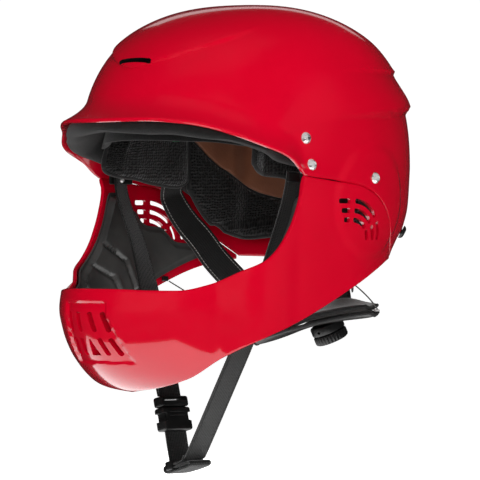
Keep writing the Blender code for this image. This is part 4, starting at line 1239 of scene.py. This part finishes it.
def leg_point(side, z):
    """Middle of a chin strap's leg at a height; side 1 is the left leg."""
    return Vector((along(LEGS, z, 1 if side > 0 else 2), along(LEGS, z, 3), z))


def leg_frame(side, z):
    """Matrix on a leg: +Z up along the leg, +Y its width, +X its outer face."""
    up = (leg_point(side, z + 0.01) - leg_point(side, z - 0.01)).normalized()
    width = Vector((0, 1, 0))
    outward = width.cross(up).normalized()
    width = up.cross(outward).normalized()
    turn = Matrix((outward, width, up)).transposed().to_4x4()
    return Matrix.Translation(leg_point(side, z)) @ turn


def block(size, centre=(0, 0, 0), bevel=0.0, segments=3):
    """Box with rounded edges as a bmesh."""
    bm = bmesh.new()
    bmesh.ops.create_cube(bm, size=1.0)
    bmesh.ops.scale(bm, vec=size, verts=bm.verts)
    bmesh.ops.translate(bm, vec=centre, verts=bm.verts)
    if bevel:
        bmesh.ops.bevel(bm, geom=bm.edges[:], offset=bevel, segments=segments, profile=0.6,
                        affect="EDGES")
    return bm


def add_block(target, size, centre, bevel=0.0, segments=2, turn=None):
    part = block(size, (0, 0, 0), bevel, segments)
    if turn is not None:
        part.transform(turn)
    part.transform(Matrix.Translation(centre))
    mesh = bpy.data.meshes.new("part")
    part.to_mesh(mesh)
    part.free()
    target.from_mesh(mesh)
    bpy.data.meshes.remove(mesh)


def chin_straps(looks):
    """Webbing legs with stitched edges, their folded ends, and the tail."""
    web = looks["web"]
    stitches = (looks["thread"], 0.0019, 0.02, 0.98)
    heights = [0.046, 0.034, 0.020, 0.0, -0.020, -0.043, -0.063, -0.081, -0.100]
    upright = Vector((0, 1, 0))

    def twist(side, z, most):
        lean = most * smooth(z, -0.075, 0.035)
        return Vector((side * lean, 1 - 0.4 * lean, 0)).normalized()

    left = [*heights, -0.125, STRAP_FOOT_Z - 0.001]
    # The near leg wears the lighter copy of the webbing, as painted light.
    strap("chin_leg_left", [leg_point(1, z) for z in left], [twist(1, z, 0.30) for z in left],
          looks["lit_web"], "chin_straps", ("chin_strap_left",), stitches=stitches)
    right = [*heights, BUCKLE_TOP_Z]
    strap("chin_leg_right", [leg_point(-1, z) for z in right],
          [twist(-1, z, 0.36) for z in right], web, "chin_straps",
          ("chin_strap_right",), stitches=stitches)
    shift = Vector((-0.0021, 0, 0))
    fold = [leg_point(-1, z) + shift * k for z, k in
            ((-0.0750, 0.95), (-0.088, 1.0), (-0.100, 1.0), (-0.1085, 0.8))]
    strap("chin_leg_right_fold", fold, upright, looks["brown_web"], "chin_straps", (),
          stitches=stitches)
    down = (BUCKLE_LOW_Z + 0.002, -0.1400, -0.1470, -0.1530, -0.1600)
    strap("strap_tail", [leg_point(-1, z) for z in down], upright, web, "buckle_half",
          ("chin_strap_tail",))
    strap_end(looks)
    for side, word in ((1, "left"), (-1, "right")):
        top = leg_point(side, ANCHOR_Z) + Vector((0, 0, 0.0046))
        bm = block((0.0024, 0.0215, 0.0066), bevel=0.0011, segments=4)
        bm.transform(Matrix.Translation(top))
        finish_piece(f"strap_swivel_{word}", bm, looks["plastic"], "chin_straps",
                     (f"strap_anchor_{word}",))
        seat = Matrix.Translation(top + Vector((-side * 0.0012, 0, 0.0004)))
        seat = seat @ Matrix.Rotation(-side * math.pi / 2, 4, "Y")
        profile = [(0, 0.0012), (0.0014, 0.0011), (0.0023, 0.0005), (0.0026, 0), (0, 0)]
        turned(f"strap_swivel_rivet_{word}", profile, seat, looks["steel"], "chin_straps",
               (), 24)


def strap_end(looks):
    """Folded webbing where the left leg ends, wrapped round the tail."""
    y = leg_point(1, -0.156).y
    tilt = Matrix.Rotation(math.radians(-14), 4, "Y")
    middle = Vector((-0.0030, y, -0.1560))
    route = ((0.0078, 0.0058), (0.0050, 0.0030), (-0.0010, 0.0022), (-0.0098, 0.0024),
             (-0.0128, 0.0016), (-0.0136, 0.0), (-0.0128, -0.0016), (-0.0098, -0.0024),
             (0.0, -0.0026), (0.0098, -0.0022), (0.0124, -0.0010), (0.0118, 0.0006),
             (0.0080, 0.0006), (-0.0010, 0.0002), (-0.0070, 0.0002))
    points = [middle + tilt @ Vector((x, 0, z)) for x, z in route]
    strap("strap_end_fold", points, Vector((0, 1, 0)), looks["web"], "chin_straps",
          ("strap_end_pad",), 0.0205, 0.0019)
    keeper = block((0.0062, 0.0248, 0.0064), bevel=0.0016, segments=4)
    keeper.transform(leg_frame(-1, -0.1562))
    ring = finish_piece("strap_keeper", keeper, looks["plastic"], "chin_straps")
    hole = block((0.0028, 0.0214, 0.02))
    hole.transform(leg_frame(-1, -0.1562))
    cut_with(ring, hole)
    finish_shading(ring)


def buckle(looks):
    """Side-release buckle: plug with a web bar and two prongs, socket with side windows."""
    place = leg_frame(-1, BUCKLE_SPLIT_Z)
    length = BUCKLE_SPLIT_Z - BUCKLE_LOW_Z
    body = block((0.0098, 0.0270, length), (0, 0, -length / 2), 0.0026, 5)
    body.transform(place)
    socket = finish_piece("buckle_socket_body", body, looks["plastic"], "buckle_half",
                          ("buckle_socket",), 30.0)
    cuts = bmesh.new()
    add_block(cuts, (0.0056, 0.0206, 0.0270), (0, 0, 0.0000))
    for edge in (-1, 1):
        add_block(cuts, (0.0150, 0.0060, 0.0062), (0, edge * 0.0128, -0.0068), 0.0012, 2)
        add_block(cuts, (0.0016, 0.0150, 0.0012), (edge * 0.0052, 0, -0.0040), 0.0003, 1)
        add_block(cuts, (0.0016, 0.0150, 0.0012), (edge * 0.0052, 0, -0.0066), 0.0003, 1)
    cuts.transform(place)
    cut_with(socket, cuts)
    finish_shading(socket)
    height = BUCKLE_TOP_Z - BUCKLE_SPLIT_Z
    bm = bmesh.new()
    add_block(bm, (0.0094, 0.0258, height), (0, 0, height / 2 + GAP), 0.0022, 4)
    bm.transform(place)
    plug = finish_piece("buckle_plug_bar", bm, looks["plastic"], "chin_straps",
                        ("buckle_plug",), 30.0)
    slot = bmesh.new()
    add_block(slot, (0.0200, 0.0208, 0.0020), (0, 0, height * 0.74), 0.0006, 2)
    slot.transform(place)
    cut_with(plug, slot)
    finish_shading(plug)
    for edge, word in ((1, "front"), (-1, "rear")):
        prong = bmesh.new()
        path = [Vector((0, edge * y, z)) for y, z in
                ((0.0050, 0.0008), (0.0056, -0.0030), (0.0070, -0.0070), (0.0086, -0.0098),
                 (0.0078, -0.0112), (0.0064, -0.0116))]
        tube(prong, path, 0.0016, 10)
        prong.transform(place)
        finish_piece(f"buckle_prong_{word}", prong, looks["plastic"], "chin_straps")
    guide = bmesh.new()
    add_block(guide, (0.0034, 0.0040, 0.0115), (0, 0, -0.0052), 0.0010, 3)
    guide.transform(place)
    finish_piece("buckle_guide", guide, looks["plastic"], "chin_straps")


def side_strap_route(side, steps):
    """Middle points and width directions of the strap that runs past the ear to the nape."""
    middles = []
    for k in range(-2, steps + 1):
        t = k / steps
        angle = 95 + 10 * t + 24 * t * t
        z = 0.0320 - 0.0480 * t - 0.0150 * t * abs(t)
        depth = 0.0180 + 0.0055 * max(0.0, t) + 0.0045 * smooth(-t, 0.0, 0.2)
        middles.append(inside(side * angle, z, depth))
    across = []
    for k, middle in enumerate(middles):
        ahead = (middles[min(k + 1, steps + 2)] - middles[max(k - 1, 0)]).normalized()
        outward = Vector((middle.x, middle.y, 0)).normalized()
        across.append(ahead.cross(outward).normalized())
    return middles, across


def side_straps(looks):
    """Wide webbing inside the guard, running back past the ear, with pale stitching."""
    for word, side in (("left", 1), ("right", -1)):
        points, across = side_strap_route(side, 9)
        strap(f"ear_web_{word}", points, across, looks["web"], "helmet",
              (f"ear_strap_{word}",), stitches=(looks["pale_thread"], 0.0019, 0.0, 1.0))


def bolts(looks):
    """Black button-head bolts with a round socket, and their nuts."""
    head = [(0.0, 0.0014), (0.0016, 0.0014), (0.0019, 0.0030), (0.0030, 0.0028), (0.0040, 0.0021),
            (0.0046, 0.0012), (0.0048, 0.0006), (0.0048, GAP), (0.0018, GAP), (0.0018, -0.0061),
            (0.0, -0.0061)]
    for side, word in ((1, "left"), (-1, "right")):
        place = placed_on_face(side * REAR_BOLT[0], REAR_BOLT[1])
        turned(f"rear_button_bolt_{word}", head, place, looks["plastic"], "helmet",
               (f"rear_bolt_{word}",), 36)
        dress(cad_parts[f"rear_nut_{word}"], looks["plastic"])


# ---------------------------------------------------------------- nape cradle
def cradle_point(x, t, rise=0.0):
    """Point of the cradle: x across, t from its rear edge (0) to its front edge (1)."""
    part = x / CRADLE_HALF
    rear = 0.0950 - 0.0170 * part * part
    front = 0.0630 - 0.0020 * part * part
    reach = math.sqrt(max(0.0, 1.0 - (abs(part) / 1.04) ** 5))
    middle = (rear + front) / 2
    y = middle + (rear - front) * reach * (0.5 - t)
    z = CRADLE_Z + CRADLE_TILT * x - 0.0020 * part * part - 0.0020 * math.sin(math.pi * t)
    z += CRADLE_LIFT * (1.0 - t) ** 1.5 * math.exp(-(part / 0.55) ** 2)
    return Vector((x, y, z + rise))


def cradle_layer(name, shrink, low, high, look, node, crown=0.0, columns=120, rows=36,
                 pipe=None):
    """Closed layer of the cradle between two rises, rounded at its border."""
    top, bottom, uvs = [], [], []
    for r in range(rows + 1):
        v = r / rows
        t = 0.5 + (v - 0.5) * shrink
        top_row, low_row, uv_row = [], [], []
        for k in range(columns + 1):
            u = 2 * k / columns - 1
            x = CRADLE_HALF * shrink * u
            round_off = max(0.0, (1 - abs(u) ** 12) * (1 - abs(2 * v - 1) ** 8)) ** 0.5
            bulge = crown * max(0.0, (1 - u * u) * (1 - (2 * v - 1) ** 2)) ** 0.4
            middle = (low + high) / 2
            half = (high - low) / 2 * (0.35 + 0.65 * round_off)
            top_row.append(cradle_point(x, t, middle + half + bulge))
            low_row.append(cradle_point(x, t, middle - half))
            uv_row.append((x, t * 0.032))
        top.append(top_row)
        bottom.append(low_row)
        uvs.append(uv_row)
    bm, seam = closed_sheets(top, bottom, uvs)
    made = finish_piece(name, bm, look, "cradle", (node,), 60.0)
    if pipe:
        piping(name + "_binding", seam, 0.0013, pipe, "cradle")
    return made


def reel_place():
    """Matrix on the cradle's underside, +Z out of its upper face."""
    middle = cradle_point(0.0, 0.5)
    across = cradle_point(0.001, 0.5) - cradle_point(-0.001, 0.5)
    ahead = cradle_point(0.0, 0.51) - cradle_point(0.0, 0.49)
    up = ahead.cross(across).normalized()
    if up.z < 0:
        up = -up
    turn = up.to_track_quat("Z", "Y").to_matrix().to_4x4()
    return Matrix.Translation(middle - up * (CRADLE_T + 0.0005)) @ turn


def cradle(looks):
    """Nape cradle: its plate, the bound cushion on it and the web it hangs from."""
    cradle_layer("cradle_plate", 1.0, -CRADLE_T, 0.0, looks["cradle_shell"],
                 "cradle_frame", pipe=looks["binding"])
    pad = cradle_layer("cradle_cushion", 0.93, 0.0024, 0.0060, looks["cradle"],
                       "cradle_pad", 0.0022, pipe=looks["binding"])
    top = Vector((0, 0.0905, 0.0000))
    foot = Vector((0, 0.0992, CRADLE_Z + CRADLE_LIFT))
    route = [top, Vector((0, 0.0915, -0.016)), Vector((0, 0.0960, -0.032)), foot]
    strap("cradle_web", route, Vector((1, 0, 0)), looks["web"], "helmet",
          ("cradle_hanger",), 0.016, stitches=(looks["thread"], 0.0017, 0.0, 1.0))


def knurl(turn, radius, height):
    """Ribs round the dial's rim."""
    if radius <= 0.0100:
        return 1.0
    return 1.0 + 0.022 * math.cos(turn * 30) * smooth(-height, 0.0070, 0.0080)


def reel(looks):
    """Reel housing, knurled dial and its screw; the spool keeps its CAD form."""
    place = reel_place()
    housing = [(0.0026, 0.0), (0.0112, 0.0), (0.0119, -0.0004), (0.0122, -0.0012),
               (0.0122, -0.0056), (0.0120, -0.0061), (0.0112, -0.0062), (0.0104, -0.0060),
               (0.0104, -0.0014), (0.0026, -0.0014), (0.0026, 0.0)]
    ring = turned("reel_housing", housing, place, looks["plastic"], "cradle",
                  ("reel_base",), 96)
    hole = bmesh.new()
    for turn in (math.radians(-56), math.radians(-150)):
        matrix = place @ Matrix.Rotation(turn, 4, "Z") @ Matrix.Translation((0.0115, 0, -0.0034))
        matrix = matrix @ Matrix.Rotation(math.pi / 2, 4, "Y")
        bmesh.ops.create_cone(hole, cap_ends=True, segments=20, radius1=0.0011, radius2=0.0011,
                              depth=0.006, matrix=matrix)
    cut_with(ring, hole)
    finish_shading(ring)
    dial = [(0.0026, -0.0068), (0.0108, -0.0068), (0.0117, -0.0071), (0.0120, -0.0078),
            (0.0120, -0.0118), (0.0116, -0.0128), (0.0104, -0.0135), (0.0080, -0.0132),
            (0.0060, -0.0137), (0.0050, -0.0137), (0.0050, -0.0122), (0.0026, -0.0122),
            (0.0026, -0.0068)]
    turned("dial_knob", dial, place, looks["plastic"], "dial", ("reel_dial",),
           240, knurl)
    dress(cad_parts["reel_spool"], looks["plastic"])
    dress(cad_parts["reel_screw"], looks["steel"])


def laces(looks):
    """Thin laces that pay out between the guard's guides and the cradle's wing tips."""
    for word, side in (("left", 1), ("right", -1)):
        tip = cradle_point(side * 0.0525, 0.5) + Vector((side * 0.0070, 0, 0.0035))
        guide = Vector((side * 0.0905, 0.0125, -0.0295))
        points = []
        for k in range(41):
            t = k / 40
            bow = Vector((side * 0.0012, 0.0010, 0)) * (4 * t * (1 - t))
            points.append(guide.lerp(tip, t) + bow)
        bm = bmesh.new()
        tube(bm, points, LACE_R, 10)
        bmesh.ops.recalc_face_normals(bm, faces=bm.faces[:])
        made = finish_piece(f"lace_cord_{word}", bm, looks["lace"], None,
                            (f"lace_{word}",), 80.0)
        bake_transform(made)
        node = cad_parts[f"lace_guide_{word}"]
        dress(node, looks["plastic"])
        eye = tip + Vector((-side * 0.0010, 0, -0.0006))
        profile = [(0.0008, 0.0006), (0.0014, 0.0009), (0.0021, 0.0006), (0.0023, 0.0),
                   (0.0021, -0.0006), (0.0008, -0.0006), (0.0008, 0.0006)]
        turned(f"lace_eyelet_{word}", profile, Matrix.Translation(eye), looks["pale_plastic"],
               "cradle", (), 28)


# ---------------------------------------------------------------- main
def main():
    looks = {
        "red": red_look(), "foam": foam_look(), "mesh": mesh_look(), "eva": eva_look(),
        "mesh_object": foam_look("crown_mesh", (0.003, 0.003, 0.003), (0.015, 0.015, 0.015)),
        "binding": foam_look("edge_binding", (0.008, 0.008, 0.008), (0.018, 0.018, 0.018)),
        "cradle": cradle_look(), "brown": brown_look(), "green": green_look(),
        "cradle_shell": plastic_look("cradle_shell", (0.016, 0.015, 0.014), (0.034, 0.031, 0.028)),
        "web": webbing_look("webbing", (0.003, 0.003, 0.003), (0.014, 0.014, 0.014)),
        # Painted light: the near leg's webbing is the same black webbing, coloured lighter as if
        # lit.
        "lit_web": webbing_look("lit_webbing", (0.008, 0.008, 0.008), (0.030, 0.030, 0.029)),
        "brown_web": webbing_look("brown_webbing", (0.012, 0.008, 0.006), (0.035, 0.024, 0.018)),
        "thread": plastic_look("black_thread", (0.012, 0.012, 0.012), (0.03, 0.03, 0.03)),
        "pale_thread": plastic_look("pale_thread", (0.30, 0.29, 0.28), (0.5, 0.49, 0.47)),
        "lace": plastic_look("grey_lace", (0.05, 0.048, 0.045), (0.10, 0.095, 0.09)),
        "steel": steel_look(), "plastic": plastic_look(),
        "pale_plastic": plastic_look("pale_eyelet", (0.45, 0.44, 0.43), (0.65, 0.64, 0.63)),
    }
    make_camera()
    make_studio()
    shell_skin(looks)
    guard_skin(looks)
    rivets(looks)
    liner_skin(looks)
    pads(looks)
    chin_pads(looks)
    chin_straps(looks)
    buckle(looks)
    side_straps(looks)
    bolts(looks)
    cradle(looks)
    reel(looks)
    laces(looks)
    dress(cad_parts["size_tab"], looks["green"])


main()
